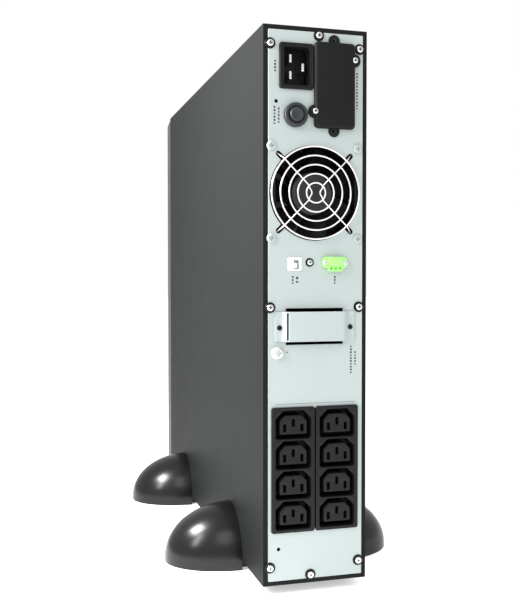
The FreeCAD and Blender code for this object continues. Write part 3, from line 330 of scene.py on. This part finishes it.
def surface(name, code, rough, grain=0.6, depth=0.02, metal=0.0, gloss=0.5, cloud=30.0,
            vary=0.05, wear=0.12, brushed=False):
    """Painted, moulded or metal finish: grain in its relief, clouding in colour and gloss."""
    material = bpy.data.materials.new(name)
    material.use_nodes = True
    tree = material.node_tree
    shader = tree.nodes["Principled BSDF"]
    shader.inputs["Metallic"].default_value = metal
    shader.inputs["Specular IOR Level"].default_value = gloss
    tone = linear(code)
    clouds = spread(tree, noise(tree, cloud, 4.0), 0.0, 1.0)
    colour = tint(tree, clouds, [c * (1 - vary) for c in tone], [c * (1 + vary) for c in tone])
    tree.links.new(colour, shader.inputs["Base Color"])
    fine = noise(tree, grain, 3.0)
    if brushed:
        stretch = tree.nodes.new("ShaderNodeMapping")
        stretch.inputs["Scale"].default_value = (1, 1, 0.05)
        where = fine.node.inputs["Vector"].links[0].from_socket
        tree.links.new(where, stretch.inputs["Vector"])
        tree.links.new(stretch.outputs["Vector"], fine.node.inputs["Vector"])
    worn = noise(tree, cloud * 0.4, 5.0)
    tree.links.new(spread(tree, worn, rough * (1 - wear), min(rough * (1 + wear), 1)),
                   shader.inputs["Roughness"])
    bump = tree.nodes.new("ShaderNodeBump")
    bump.inputs["Strength"].default_value = 1.0
    bump.inputs["Distance"].default_value = depth * MM
    tree.links.new(fine, bump.inputs["Height"])
    tree.links.new(bump.outputs["Normal"], shader.inputs["Normal"])
    return material


def clear_window():
    """Smoke-tinted clear plastic."""
    material = surface("window", "101418", 0.08, grain=4.0, depth=0.003)
    shader = material.node_tree.nodes["Principled BSDF"]
    shader.inputs["Alpha"].default_value = 0.35
    shader.inputs["Coat Weight"].default_value = 0.6
    return material


CASE = surface("case_paint", "1B1C1C", 0.55, grain=0.7, depth=0.02, gloss=0.03, cloud=60,
               vary=0.012, wear=0.03)
PANEL = surface("panel_paint", "9AA3A2", 0.5, grain=0.5, depth=0.01, gloss=0.25, vary=0.012)
ZINC = surface("zinc_sheet", "A8ABAA", 0.36, grain=1.2, depth=0.01, metal=0.9, cloud=9,
               vary=0.12)
NICKEL = surface("nickel", "DAD9D5", 0.2, grain=0.8, depth=0.004, metal=1.0, cloud=5)
DULL_NICKEL = surface("dull_nickel", "C9CCCA", 0.38, grain=0.5, depth=0.01, metal=0.75, cloud=4)
WIRE = surface("guard_wire", "D9D5D7", 0.32, grain=0.6, depth=0.01, metal=0.6, cloud=8)
DARK_STEEL = surface("dark_steel", "0C0D0E", 0.4, grain=0.4, depth=0.01, metal=0.2, gloss=0.2)
MOULDING = surface("black_moulding", "151617", 0.5, grain=0.35, depth=0.012, gloss=0.14)
COVER = surface("cover_black", "121313", 0.5, grain=0.5, depth=0.015, gloss=0.12, cloud=20)
GREY_MOULDING = surface("grey_moulding", "26282A", 0.42, grain=0.3, depth=0.012, gloss=0.3)
FAN_BLACK = surface("fan_black", "070808", 0.5, grain=0.4, depth=0.01, gloss=0.1)
HUB_GREY = surface("hub_grey", "222425", 0.45, grain=0.4, depth=0.01, gloss=0.3)
COPPER = surface("copper_wire", "A8602C", 0.3, grain=0.5, depth=0.06, metal=1.0, brushed=True)
WHITE = surface("white_moulding", "F2F2EF", 0.32, grain=0.4, depth=0.006, vary=0.01)
GREEN = surface("green_moulding", "93EE70", 0.35, grain=0.4, depth=0.008, vary=0.04, cloud=8)
BOARD = surface("board_green", "0F4A2A", 0.35, grain=0.8, depth=0.02, cloud=6, vary=0.2)
BRASS = surface("contact_brass", "C9A55A", 0.28, grain=0.5, depth=0.006, metal=1.0)
BEZEL = surface("bezel_plastic", "2B2D2E", 0.5, grain=0.45, depth=0.03, gloss=0.3, vary=0.03)
KEY = surface("key_plastic", "8A8E90", 0.4, grain=0.4, depth=0.01)
LCD = surface("lcd_face", "0B2340", 0.25, grain=1.0, depth=0.002)
LCD_LIT = surface("lcd_lit", "BFD8E6", 0.3, grain=1.0, depth=0.002)
BATTERY = surface("battery_case", "34383C", 0.55, grain=0.8, depth=0.03)
ALUMINIUM = surface("sink_aluminium", "B9BCBE", 0.35, grain=0.5, depth=0.02, metal=1.0,
                    brushed=True)
SLEEVE = surface("capacitor_sleeve", "10182C", 0.25, grain=1.0, depth=0.004)
STAND = surface("stand_plastic", "0B0B0C", 0.24, grain=0.8, depth=0.003, gloss=0.3, cloud=40,
                vary=0.02, wear=0.05)
INK = surface("ink_black", "1A1D1D", 0.6, grain=0.3, depth=0.004)
WINDOW = clear_window()

NODE_FINISH = {
    "outer_cover": CASE, "chassis_tray": CASE, "front_plate": ZINC, "divider_plate": ZINC,
    "rear_panel": PANEL, "inlet_blades": NICKEL, "breaker_body": MOULDING,
    "slot_frame": MOULDING, "slot_sleeve": ZINC, "fan_frame": FAN_BLACK, "fan_stator": COPPER,
    "comm_board": BOARD, "comm_bracket": ZINC, "epo_socket": GREEN,
    "battery_connector": MOULDING, "ground_washer": DULL_NICKEL, "outlet_contacts_left": BRASS,
    "outlet_contacts_right": BRASS, "bezel_studs": NICKEL, "display_window": WINDOW,
    "display_housing": BEZEL, "lcd_panel": LCD, "display_board": BOARD, "battery_door": ZINC,
    "battery_tray": ZINC, "main_board": BOARD, "board_standoffs": BRASS,
    "inverter_heatsink": ALUMINIUM, "bus_capacitors": SLEEVE, "power_chokes": COPPER,
    "battery_block_1": BATTERY, "battery_block_2": BATTERY, "battery_block_3": BATTERY,
    "battery_block_4": BATTERY,
}
# how far the edges of a carried-over node are rounded, in mm
SHEET_EDGE = 0.35
EDGES = {"outer_cover": 0.55, "chassis_tray": 0.55, "rear_panel": 0.25, "fan_frame": 0.4,
         "inlet_blades": 0.5, "battery_block_1": 1.5, "battery_block_2": 1.5,
         "battery_block_3": 1.5, "battery_block_4": 1.5}


def round_edges(thing, width, angle):
    """Bevel, in mm, on every edge that turns by more than an angle in degrees."""
    bevel = thing.modifiers.new("edges", "BEVEL")
    bevel.width = width * MM
    bevel.segments = 2
    bevel.limit_method = "ANGLE"
    bevel.angle_limit = math.radians(angle)
    return bevel


def carry_over():
    """Give each node that stays its finish and softly rounded edges."""
    for name, finish in NODE_FINISH.items():
        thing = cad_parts[name]
        thing.data.materials.clear()
        thing.data.materials.append(finish)
        weld = thing.modifiers.new("weld", "WELD")
        weld.merge_threshold = 0.002 * MM
        round_edges(thing, EDGES.get(name, SHEET_EDGE), 50).harden_normals = True


# ---------------------------------------------------------------- screws

def screw(bm, dark, centre, seat, head, tall, way, shank, long):
    """Pan-head cross-recess screw in bm. Where a dark mesh is given, a dark flange under a
    smaller head paints the dark rim of reflection and shade round it, and a dark cross paints
    shade in its recess.
    """
    top = seat + way * tall
    recess_floor = top - way * tall * 0.5
    # the dark flange paints the dark reflection and shade round the head; the dark cross paints
    # shade deep in the recess
    if dark is not None:
        flange = way * tall * 0.35
        block(dark, circle(head, centre), seat, seat + flange, edge=tall * 0.2)
        seat, head = seat + flange, head * 0.62
        block(dark, cross(head * 0.5, head * 0.22, centre), recess_floor, top - way * tall * 0.2,
              edge=0.0)
    recess = (cross(head * 0.55, head * 0.28, centre), recess_floor, 0.0, ())
    block(bm, circle(head, centre), seat, top, [recess], edge=min(tall * 0.5, head * 0.35))
    lathe(bm, centre, [(shank, seat - way * long), (shank, seat)], 24)


def screw_set(node, names, finish, head_tall, shank, body="case"):
    """Screws for every solid of a node; a second name is for their dark flanges and recess
    crosses, which are painted shade and painted reflection.
    """
    shade_ringed = len(names) > 1
    bright, dark = bmesh.new(), bmesh.new()
    for (low, high), centre in zip(solids(node), centres(node)):
        way = REAR_WAY if low.y > 0 else FRONT_WAY
        face, tip = (high.y, low.y) if way == REAR_WAY else (low.y, high.y)
        seat = face - way * head_tall
        screw(bright, dark if shade_ringed else None, centre, seat, (high.x - low.x) / 2, head_tall,
              way, shank, abs(seat - tip))
    piece(names[0], bright, finish, body, (node,))
    if shade_ringed:
        piece(names[1], dark, DARK_STEEL, body)
    else:
        dark.free()


def all_screws():
    """Every set of screws; the last two numbers are the head's height and the shank's radius."""
    # the second names hold the dark rings and recess crosses of painted shade and painted
    # reflection
    screw_set("case_screws", ("panel_screws", "panel_screw_shade_rings"), NICKEL, 2.3, 1.9)
    screw_set("slot_screws", ("cover_screws", "cover_screw_shade_rings"), NICKEL, 2.0, 1.6)
    screw_set("fan_screws", ("guard_screws",), PANEL, 1.8, 1.8)
    screw_set("comm_screw", ("port_screw", "port_screw_shade_ring"), NICKEL, 1.9, 1.4)
    screw_set("battery_port_screws", ("strap_screws",), DARK_STEEL, 0.8, 1.4)
    screw_set("epo_plug_screws", ("plug_screws",), DULL_NICKEL, 1.4, 1.1, "epo_plug")
    screw_set("ground_screw", ("ground_stud",), DULL_NICKEL, 3.0, 2.4)


# ---------------------------------------------------------------- mains inlet and breaker

def inlet():
    """Panel inlet: rounded flange and a deep cavity with cut corners at the earth side."""
    low, high = box("inlet_housing")
    centre = middle("inlet_housing")
    half, rise, bevel, shift, deep = 10.55, 14.75, 2.0, 0.45, 17.0
    cavity = [(half, -rise), (half, rise), (bevel - half, rise), (-half, rise - bevel),
              (-half, bevel - rise), (bevel - half, -rise)]
    cavity = polygon([(centre.x - shift + x, centre.z + z) for x, z in cavity], 0.8)
    floor = high.y - deep
    foot_rim, foot_tall = 0.8, 0.8
    feet = [(rectangle(b.x - a.x + foot_rim * 2, b.z - a.z + foot_rim * 2, spot, 0.6),
             floor + foot_tall, 0.2, ())
            for (a, b), spot in zip(solids("inlet_blades"), centres("inlet_blades"))]
    mouth = (inset(cavity, -1.6), high.y - 0.7, 0.25, [(cavity, floor, 0.3, feet)])
    bm = bmesh.new()
    block(bm, rectangle(high.x - low.x, high.z - low.z, (centre.x, centre.z), 2.2),
          panel_face(), high.y, [mouth], edge=0.7, stem=(1.6, low.y))
    piece("mains_inlet", bm, MOULDING, replaces=("inlet_housing",))


def ring_nut(spot):
    """Round nut with a knurled rim."""
    low, high = box("breaker_nut")
    radius, bore, groove, teeth = (high.x - low.x) / 2, 6.9, 0.35, 36
    crests, roots = (circle(r, spot, teeth * 2) for r in (radius, radius - groove))
    knurl = [(roots if step % 2 else crests)[step] for step in range(teeth * 2)]
    bm = bmesh.new()
    hole = (circle(bore, spot, 48), low.y, 0.5, ())
    block(bm, knurl, low.y, high.y, [hole], edge=0.9)
    piece("breaker_ring", bm, GREY_MOULDING, replaces=("breaker_nut",))


def reset_button(spot):
    """Button with a rounded rim round a shallow dish."""
    low, high = box("breaker_button")
    radius, top, round_off = (high.x - low.x) / 2, high.y, 1.2
    dish_radius, dish_low, dish_rise = 3.9, 1.1, 0.9
    dish = [(r, top - dish_low + dish_rise * (r / dish_radius) ** 2)
            for r in (dish_radius, 3.0, 2.0, 1.0, 0.3)]
    rim = [(radius - round_off + x, top - round_off + y) for x, y in arc(round_off, 0, 90)[1:]]
    bm = bmesh.new()
    lathe(bm, spot, [(radius, low.y), (radius, top - round_off)] + rim + dish)
    piece("reset_button", bm, GREY_MOULDING, "breaker_button",
          ("breaker_button",), sharp=40)


def breaker():
    centre = middle("breaker_nut")
    ring_nut((centre.x, centre.z))
    reset_button((centre.x, centre.z))


# ---------------------------------------------------------------- accessory slot

def slot_cover():
    """Pressed cover with broad rounded edges and two screw lugs."""
    low, high = box("slot_cover")
    wide, tall, lug_radius, lug_tall = 33.7, 67.2, 5.2, 1.7
    lugs = centres("slot_screws")
    spot = ((lugs[0][0] + lugs[1][0]) / 2, (lugs[0][1] + lugs[1][1]) / 2)
    bm = bmesh.new()
    block(bm, rectangle(wide, tall, spot, 3.2), low.y, high.y, edge=2.2)
    piece("slot_cover_plate", bm, COVER, replaces=("slot_cover",))
    bm = bmesh.new()
    for lug in lugs:
        block(bm, circle(lug_radius, lug), low.y, low.y + lug_tall, edge=0.7)
    piece("slot_cover_lugs", bm, COVER)


# ---------------------------------------------------------------- fan

def blade(bm, centre, turn, hub, tip, back, front):
    """One curved, twisted fan blade as a closed thin solid."""
    spans, chords, thick, bow, lean = 7, 8, 0.9, 1.6, 0.22
    skins = []
    for side in (0, 1):
        rows = []
        for span in range(spans + 1):
            share = span / spans
            radius = hub + (tip - hub) * share
            width = math.radians(46 - 8 * share)
            row = []
            for chord in range(chords + 1):
                along = chord / chords
                angle = turn + width * (along - 0.5) + lean * share
                lift = math.sin(math.pi * along) * bow
                depth = back + (front - back) * (0.9 - 0.8 * along) - lift + side * thick
                row.append(bm.verts.new((centre.x + radius * math.cos(angle), depth,
                                         centre.z + radius * math.sin(angle))))
            rows.append(row)
        skins.append(rows)
        for one, two in zip(rows, rows[1:]):
            for index in range(chords):
                bm.faces.new((one[index], one[index + 1], two[index + 1], two[index]))
    rims = [[r[0] for r in rows] + rows[-1][1:] + [r[-1] for r in rows[::-1]][1:]
            + rows[0][::-1][1:-1] for rows in skins]
    bridge(bm, rims)


def fan_rotor():
    """Hub with a rounded, grooved crown, and seven blades round it."""
    low, high = box("fan_rotor")
    centre = middle("fan_frame")
    hub, corner, count = 17.0, 2.2, 7
    tip = min((high.x - low.x) / 2, 36.6)
    bm = bmesh.new()
    skirt = [(hub, low.y), (hub, high.y - corner)]
    crown = [(hub - corner + x, high.y - corner + y) for x, y in arc(corner, 0, 90)[1:]]
    face = [(10.0, high.y), (9.7, high.y - 0.5), (4.0, high.y - 0.5), (3.7, high.y - 0.1),
            (0.4, high.y - 0.1)]
    lathe(bm, (centre.x, centre.z), skirt + crown + face, 64)
    piece("fan_hub", bm, HUB_GREY, "fan_rotor", ("fan_rotor",), sharp=40)
    bm = bmesh.new()
    for number in range(count):
        blade(bm, centre, 2 * math.pi * number / count, hub - 0.4, tip, low.y + 2, high.y - 3)
    piece("fan_blades", bm, FAN_BLACK, "fan_rotor", sharp=50)


def fan_guard():
    """Five wire rings before the panel; two bent wires cross them, dip through the window's
    lobes and end in an eye under each screw."""
    low, high = box("fan_guard")
    centre = middle("fan_frame")
    room, ring_wire, spoke_wire = 0.8, 0.64, 0.56
    front, back = high.y - room, low.y + room
    first, pitch, apex, knee, bend_radius, eye = 7.8, 7.1, 3.4, 5.4, 3.5, 3.2
    rings = [([(x, front, z) for x, z in circle(first + pitch * step, (centre.x, centre.z), 72)],
              True) for step in range(5)]
    eyes = centres("fan_screws")
    rings += [([(x, back, z) for x, z in circle(eye, spot, 32)], True) for spot in eyes]
    diagonal = math.sqrt(0.5)
    reach = abs(eyes[0][0] - centre.x) - eye * diagonal
    dip = [(reach, back), (43.9 * diagonal, back), (43.2 * diagonal, back + 1.2),
           (38.4 * diagonal, front - 1.0), (37.4 * diagonal, front), (knee + 1.0, front)]
    half = [(r, y, r) for r, y in dip]
    bend = [(x, front, z) for x, z in arc(bend_radius, 132, 228, (apex + bend_radius, 0), 6)]
    points = half + bend + [(x, y, -z) for x, y, z in half[::-1]]
    spokes = [([(centre.x + side * x, y, centre.z + z) for x, y, z in points], False)
              for side in (1, -1)]
    piece("fan_guard_rings", tubes("fan_guard_rings", rings, ring_wire), WIRE,
          replaces=("fan_guard",))
    piece("fan_guard_spokes", tubes("fan_guard_spokes", spokes, spoke_wire), WIRE)


# ---------------------------------------------------------------- communication ports

def usb_port():
    """Square data socket whose mouth bends round a tongue."""
    low, high = box("usb_port")
    centre = middle("usb_port")
    x, z = centre.x, centre.z
    far, near, tip, deep = x - 4.2, x + 1.0, x - 1.8, 9.0
    mouth = polygon([(far, z - 4.1), (near, z - 4.1), (near, z - 2.9), (tip, z - 2.9),
                     (tip, z + 0.6), (near, z + 0.6), (near, z + 3.1), (far, z + 3.1)], 0.25)
    bm = bmesh.new()
    block(bm, rectangle(high.x - low.x, high.z - low.z, (x, z), 0.8), low.y, high.y,
          [(mouth, high.y - deep, 0.15, ())], edge=0.35)
    piece("data_port", bm, WHITE, replaces=("usb_port",))


def epo_plug():
    """Green terminal plug: rounded flange, wire block with three entries, two screw bosses."""
    low, high = box("epo_plug")
    x, z = middle("epo_socket").x, middle("epo_socket").z
    seat = panel_face() + 0.4
    flange_tall, flange_thick, flange_rise, boss_hole = 9.0, 2.5, 1.2, 1.45
    entry_pitch, entry_drop = 3.8, 2.9
    bm = bmesh.new()
    holes = [(circle(boss_hole, boss, 24), seat + 1.9, 0.15, ())
             for boss in centres("epo_plug_screws")]
    flange = rectangle(high.x - low.x, flange_tall, (x, z + flange_rise), 4.4, 8)
    block(bm, flange, seat, seat + flange_thick, holes, edge=0.4)
    entries = [(rectangle(2.6, 2.8, (x + entry_pitch * column, z - entry_drop), 0.4),
                seat + 0.6, 0.2, ()) for column in (-1, 0, 1)]
    block(bm, rectangle(12.0, 11.3, (x, z), 1.6), seat + 0.3, high.y, entries, edge=0.6)
    block(bm, rectangle(11.2, 7.8, (x, z)), low.y, seat + 0.2, edge=0.0)
    piece("terminal_plug", bm, GREEN, "epo_plug", ("epo_plug",))


# ---------------------------------------------------------------- battery port

def rounded_line(corners, bend, steps=5):
    """Open line through corners, each turned into a curve that starts a bend before it."""
    line = [corners[0]]
    for before, here, after in zip(corners, corners[1:], corners[2:]):
        corner = Vector(here)
        start = corner + (Vector(before) - corner).normalized() * bend
        end = corner + (Vector(after) - corner).normalized() * bend
        for step in range(steps + 1):
            t = step / steps
            line.append(tuple(start * (1 - t) ** 2 + corner * 2 * t * (1 - t) + end * t * t))
    line.append(corners[-1])
    return line


def thicken(line, thick):
    """Closed outline round a line: one side from its start, the other side back."""
    section = []
    for side in (1, -1):
        row = []
        for index, here in enumerate(line):
            before = Vector(line[max(index - 1, 0)])
            after = Vector(line[min(index + 1, len(line) - 1)])
            along = (after - before).normalized()
            row.append(Vector(here) + Vector((-along.y, along.x)) * side * thick / 2)
        section += row if side == 1 else row[::-1]
    return section


def slit_sheet(section, heights, first, last):
    """Upright sheet of four heights, open between two points of its line in the middle band."""
    count = len(section)
    bm = bmesh.new()
    levels = [[bm.verts.new((p.x, p.y, height)) for p in section] for height in heights]
    opening = [*range(first, last), *range(count - 1 - last, count - 1 - first)]
    for band, (lower, upper) in enumerate(zip(levels, levels[1:])):
        for index in range(count):
            if band != 1 or index not in opening:
                after = (index + 1) % count
                bm.faces.new((lower[index], lower[after], upper[after], upper[index]))
    lower, upper = levels[1:3]
    for index in (first, last):
        under = count - 1 - index
        bm.faces.new((lower[index], lower[under], upper[under], upper[index]))
    for level in (lower, upper):
        for index in range(first, last):
            under = count - 1 - index
            bm.faces.new((level[index], level[index + 1], level[under - 1], level[under]))
    fill(bm, levels[:1])
    fill(bm, levels[3:])
    return bm


def strap():
    """Bridge of bent sheet over the battery port, with a slit along its +X upper bend."""
    low, high = box("battery_port_cover")
    sheet, foot, top, tab, bend = 1.2, 27.2, 23.3, 0.9, 1.8
    slit_first, slit_last = 15, 17
    half, shift = (high.x - low.x) / 2, (high.x + low.x) / 2
    rise = high.y - low.y - sheet
    corners = [(shift + x, low.y + sheet / 2 + y) for x, y in
               ((-half, 0), (-foot, 0), (-top, rise), (top, rise), (foot, 0), (half, 0))]
    section = thicken(rounded_line(corners, bend), sheet)
    heights = (low.z, low.z + tab, high.z - tab, high.z)
    thing = piece("port_strap", slit_sheet(section, heights, slit_first, slit_last), PANEL,
                  replaces=("battery_port_cover",))
    round_edges(thing, 0.25, 60)


# ---------------------------------------------------------------- outlets

def outlet_face(wide, tall, cut, spot, radius):
    """Outlet outline with its two upper corners cut off."""
    half, rise = wide / 2, tall / 2
    corners = [(-half, -rise), (half, -rise), (half, rise - cut), (half - cut, rise),
               (cut - half, rise), (-half, rise - cut)]
    return polygon([(spot[0] + x, spot[1] + z) for x, z in corners], radius)


def outlet_strip(side):
    """Four outlets in one moulding: a groove round an island with three slots in each."""
    node = f"outlet_strip_{side}"
    low, high = box(node)
    centre = middle(node)
    face = panel_face()
    pitch, across, drop, rise = 23.8, 7.1, 2.5, 1.5
    outlets = []
    for level in (1.5, 0.5, -0.5, -1.5):
        x, z = centre.x, centre.z + pitch * level
        spot = (x, z)
        slots = [(rectangle(2.6, 6.0, place, 0.35), face - 18.0, 0.25, ())
                 for place in ((x - across, z - drop), (x + across, z - drop), (x, z + rise))]
        island = (outlet_face(22.2, 14.6, 4.4, spot, 1.0), high.y - 0.5, 0.4, slots)
        outlets.append((outlet_face(29.4, 22.6, 6.4, spot, 2.4), high.y - 15.0, 0.3, [island]))
    bm = bmesh.new()
    block(bm, rectangle(high.x - low.x, high.z - low.z, (centre.x, centre.z), 1.9), face,
          high.y, outlets, edge=0.7, stem=(1.8, face - 20.0))
    piece(f"outlet_block_{side}", bm, MOULDING, replaces=(node,))


# ---------------------------------------------------------------- front

def bezel_features(front, inner):
    """Window, key holes and louvres of the bezel, all cut through to its inner face."""
    low, high = box("display_window")
    room = 0.4
    lens = rectangle(high.x - low.x + room, high.z - low.z + room, (0, (low.z + high.z) / 2), 2.0)
    features = [(inset(lens, -1.2), front + 0.6, 0.3, [(lens, inner, 0.0, ())])]
    key_hole = 4.85
    for key in KEYS:
        spot = middle(key)
        hole = circle(key_hole, (spot.x, spot.z), 40)
        features.append((inset(hole, -1.0), front + 0.5, 0.25, [(hole, inner, 0.0, ())]))
    louvre_wide, louvre_tall, first, pitch, rise, count = 2.5, 120, -27.5, 5, 70, 12
    low, high = box("battery_door")
    level = (low.z + high.z) / 2
    for step in range(count):
        for row in (1, -1):
            spot = (first + pitch * step, level + rise * row)
            features.append((rectangle(louvre_wide, louvre_tall, spot, 1.2), inner, 0.5, ()))
    return features


def bezel():
    """Hollow front moulding with louvres, a display window and three key holes."""
    low, high = box("front_bezel")
    front, back = low.y, high.y
    wall, taper, corner = 2.5, 5.0, 3.0
    mid_z = (low.z + high.z) / 2
    wide, tall = high.x - low.x, high.z - low.z
    inner = front + wall

    def outline(gap, share):
        return rectangle(wide - gap * 2, tall - gap * 2 - taper * 2 * share, (0, mid_z), corner)

    rows = [(outline(0, 0), back)] + lip(outline(0, 0.93), front, FRONT_WAY, 1.6)
    bm = bmesh.new()
    rings = [ring(bm, shape, y) for shape, y in rows]
    bridge(bm, rings)
    through = []
    relief(bm, rings[-1], front, bezel_features(front, inner), FRONT_WAY, inner, through)
    cavity = [ring(bm, outline(wall, 0), back), ring(bm, outline(wall, 1), inner)]
    bridge(bm, [rings[0], cavity[0]])
    bridge(bm, cavity)
    fill(bm, [cavity[1]] + through)
    piece("bezel_shell", bm, BEZEL, "front_bezel", ("front_bezel",))


def keys():
    """Domed keys, each with a flange behind the bezel and a thin stem."""
    cap, flange, stem, bow = 4.5, 5.6, 2.5, 0.25
    flange_front, flange_back = 2.7, 4.1
    for key in KEYS:
        low, high = box(key)
        spot = middle(key)
        crown = [(r, low.y + bow * (r / 4.2) ** 2) for r in (4.2, 3.4, 2.2, 1.0, 0.3)]
        profile = [(stem, high.y), (stem, low.y + flange_back), (flange, low.y + flange_back),
                   (flange, low.y + flange_front), (cap, low.y + flange_front),
                   (cap, low.y + 1.0)] + crown
        bm = bmesh.new()
        lathe(bm, (spot.x, spot.z), profile)
        piece(key + "_cap", bm, KEY, key, (key,), sharp=40)


def screen():
    """Charge bars and a load scale on the display, without lettering."""
    centre = middle("lcd_panel")
    face = box("lcd_panel")[0].y
    back, front = face + 0.05, face - 0.12
    frame_spot = (centre.x, centre.z + 4)
    shapes = [rectangle(7.0, 3.6, (centre.x + 12.5 * column, centre.z - 14 + 6 * level), 0.5)
              for column in (-1, 1) for level in range(5)]
    bm = bmesh.new()
    for shape in shapes:
        block(bm, shape, back, front, edge=0.0)
    hole = (rectangle(10.5, 11.5, frame_spot, 1.0), back, 0.0, ())
    block(bm, rectangle(12.0, 13.0, frame_spot, 1.6), back, front, [hole], edge=0.0)
    block(bm, rectangle(30.0, 1.0, (centre.x, centre.z + 20), 0.4), back, front, edge=0.0)
    piece("lcd_segments", bm, LCD_LIT)


# ---------------------------------------------------------------- stands

def dome(bm, side, y, wall_x, reach, half, tall):
    """Half dome from its foot to its crown, closed towards the case."""
    rim, round_off, rows, count = 4.0, 0.8, 15, 28
    levels = [(0.0, 0.985), (round_off, 1.0), (rim, 1.0)]
    for step in range(1, rows):
        turn = math.pi / 2 * step / rows
        levels.append((rim + (tall - rim) * math.sin(turn), math.cos(turn)))
    turns = [math.pi * step / count for step in range(count + 1)]
    rings = [[bm.verts.new((side * (wall_x + reach * share * math.sin(turn)),
                            y - half * share * math.cos(turn), height)) for turn in turns]
             for height, share in levels]
    bridge(bm, rings)
    fill(bm, rings[:1])
    fill(bm, rings[-1:])


def tongue(bm, side, y, wall_x, top):
    """Plate from a dome's foot under the case, nearly to its twin."""
    half, start = 32, 0.15
    corners = [(start, y - half), (wall_x, y - half), (wall_x, y + half), (start, y + half)]
    levels = [[bm.verts.new((side * x, py, z)) for x, py in corners] for z in (0.0, top)]
    bridge(bm, levels)
    fill(bm, levels[:1])
    fill(bm, levels[1:])


def stands():
    """Four half-dome stands, each with a tongue under the case."""
    case_low, case_high = box("outer_cover")
    gap = 0.05
    for row in ("rear", "front"):
        for side, name in ((1, "left"), (-1, "right")):
            node = f"stand_{row}_{name}"
            low, high = box(node)
            y = (low.y + high.y) / 2
            outer = max(abs(low.x), abs(high.x))
            bm = bmesh.new()
            dome(bm, side, y, case_high.x + gap, outer - case_high.x - gap,
                 (high.y - low.y) / 2, high.z)
            tongue(bm, side, y, case_high.x, case_low.z)
            piece(f"{node}_shell", bm, STAND, replaces=(node,), sharp=40)


# ---------------------------------------------------------------- printed marks

def marks():
    """Plain ink bars where the panel carries small print."""
    face = panel_face()
    back, front = face - 0.02, face + 0.04
    rows = [  # x, z, width, height of each row of print
        (33.7, 414, 1.5, 10), (34.2, 376, 1.5, 15), (30.8, 376, 1.3, 13), (-34.2, 398, 1.2, 30),
        (19.2, 248.5, 1.4, 7), (15.6, 248.5, 1.8, 6), (-15.8, 248.5, 1.4, 7),
        (-29.6, 185, 1.5, 23), (-33.2, 186, 1.2, 12), (24.0, 192, 1.6, 1.6),
    ]
    bar_pitch, long_bar, short_bar = 2.4, 0.62, 0.45
    bm = bmesh.new()
    for x, z, wide, tall in rows:
        count = max(1, round(tall / bar_pitch))
        part = tall / count
        for step in range(count):
            spot = (x, z - tall / 2 + part * (step + 0.5))
            share = short_bar if step % 3 == 0 else long_bar
            block(bm, rectangle(wide, part * share, spot), back, front, edge=0.0)
    outlet_line = rectangle(66, 0.25, (0, 151.3))
    block(bm, outlet_line, back, front, edge=0.0)
    piece("panel_print", bm, INK)


# ---------------------------------------------------------------- stage, light and camera

def paper_floor():
    """Wide white floor that gives a little light of its own, so shadows on it stay faint."""
    reach = 9000
    bm = bmesh.new()
    bm.faces.new([bm.verts.new((reach * x, reach * y, 0))
                  for x, y in ((-1, -1), (1, -1), (1, 1), (-1, 1))])
    bmesh.ops.scale(bm, vec=(MM, MM, MM), verts=bm.verts)
    mesh = bpy.data.meshes.new("floor")
    bm.to_mesh(mesh)
    bm.free()
    floor = bpy.data.objects.new("floor", mesh)
    bpy.context.scene.collection.objects.link(floor)
    paper = surface("floor_paper", "FFFFFF", 0.9, grain=3, depth=0.0, gloss=0.0, vary=0.0)
    shader = paper.node_tree.nodes["Principled BSDF"]
    shader.inputs["Emission Color"].default_value = (1, 1, 1, 1)
    shader.inputs["Emission Strength"].default_value = 0.45
    mesh.materials.append(paper)


def sky():
    """Even white light from all round, shown with plain colours."""
    world = bpy.data.worlds.new("studio")
    bpy.context.scene.world = world
    world.use_nodes = True
    back = world.node_tree.nodes["Background"]
    back.inputs["Color"].default_value = (1, 1, 1, 1)
    back.inputs["Strength"].default_value = 1.0
    bpy.context.scene.view_settings.view_transform = "Standard"


def softbox(name, place, target, power, wide, tall):
    data = bpy.data.lights.new(name, "AREA")
    data.shape = "RECTANGLE"
    data.size, data.size_y = wide, tall
    data.energy = power
    lamp = bpy.data.objects.new(name, data)
    lamp.location = place
    lamp.rotation_euler = (Vector(target) - Vector(place)).to_track_quat("-Z", "Y").to_euler()
    bpy.context.scene.collection.objects.link(lamp)


def lights():
    softbox("key", (0.3, 1.9, 1.6), (0, 0.1, 0.2), 9, 0.8, 1.2)
    softbox("side", (0.85, 0.62, 0.72), (0.04, 0.0, 0.05), 6.5, 0.14, 0.5)
    softbox("flank", (0.4, 0.15, 0.5), (0.043, 0.15, 0.36), 10.0, 0.2, 0.2)
    softbox("rim", (-1.2, -0.3, 1.1), (0, 0, 0.1), 1.5, 0.4, 0.8)


def camera():
    """Camera low behind the left rear corner, looking a little across the rear panel."""
    rear = box("outer_cover")[1].y
    data = bpy.data.cameras.new("camera")
    data.lens = 51.72
    data.sensor_width = 36
    eye = bpy.data.objects.new("camera", data)
    eye.location = Vector((226.4, rear + 643.0, 251.8)) * MM
    heading, tilt = math.radians(15.717), math.radians(1.61)
    look = Vector((-math.sin(heading) * math.cos(tilt), -math.cos(heading) * math.cos(tilt),
                   -math.sin(tilt)))
    eye.rotation_euler = look.to_track_quat("-Z", "Y").to_euler()
    bpy.context.scene.collection.objects.link(eye)
    bpy.context.scene.camera = eye


camera()
paper_floor()
sky()
lights()
carry_over()
all_screws()
inlet()
breaker()
slot_cover()
fan_rotor()
fan_guard()
usb_port()
epo_plug()
strap()
outlet_strip("left")
outlet_strip("right")
bezel()
keys()
screen()
stands()
marks()
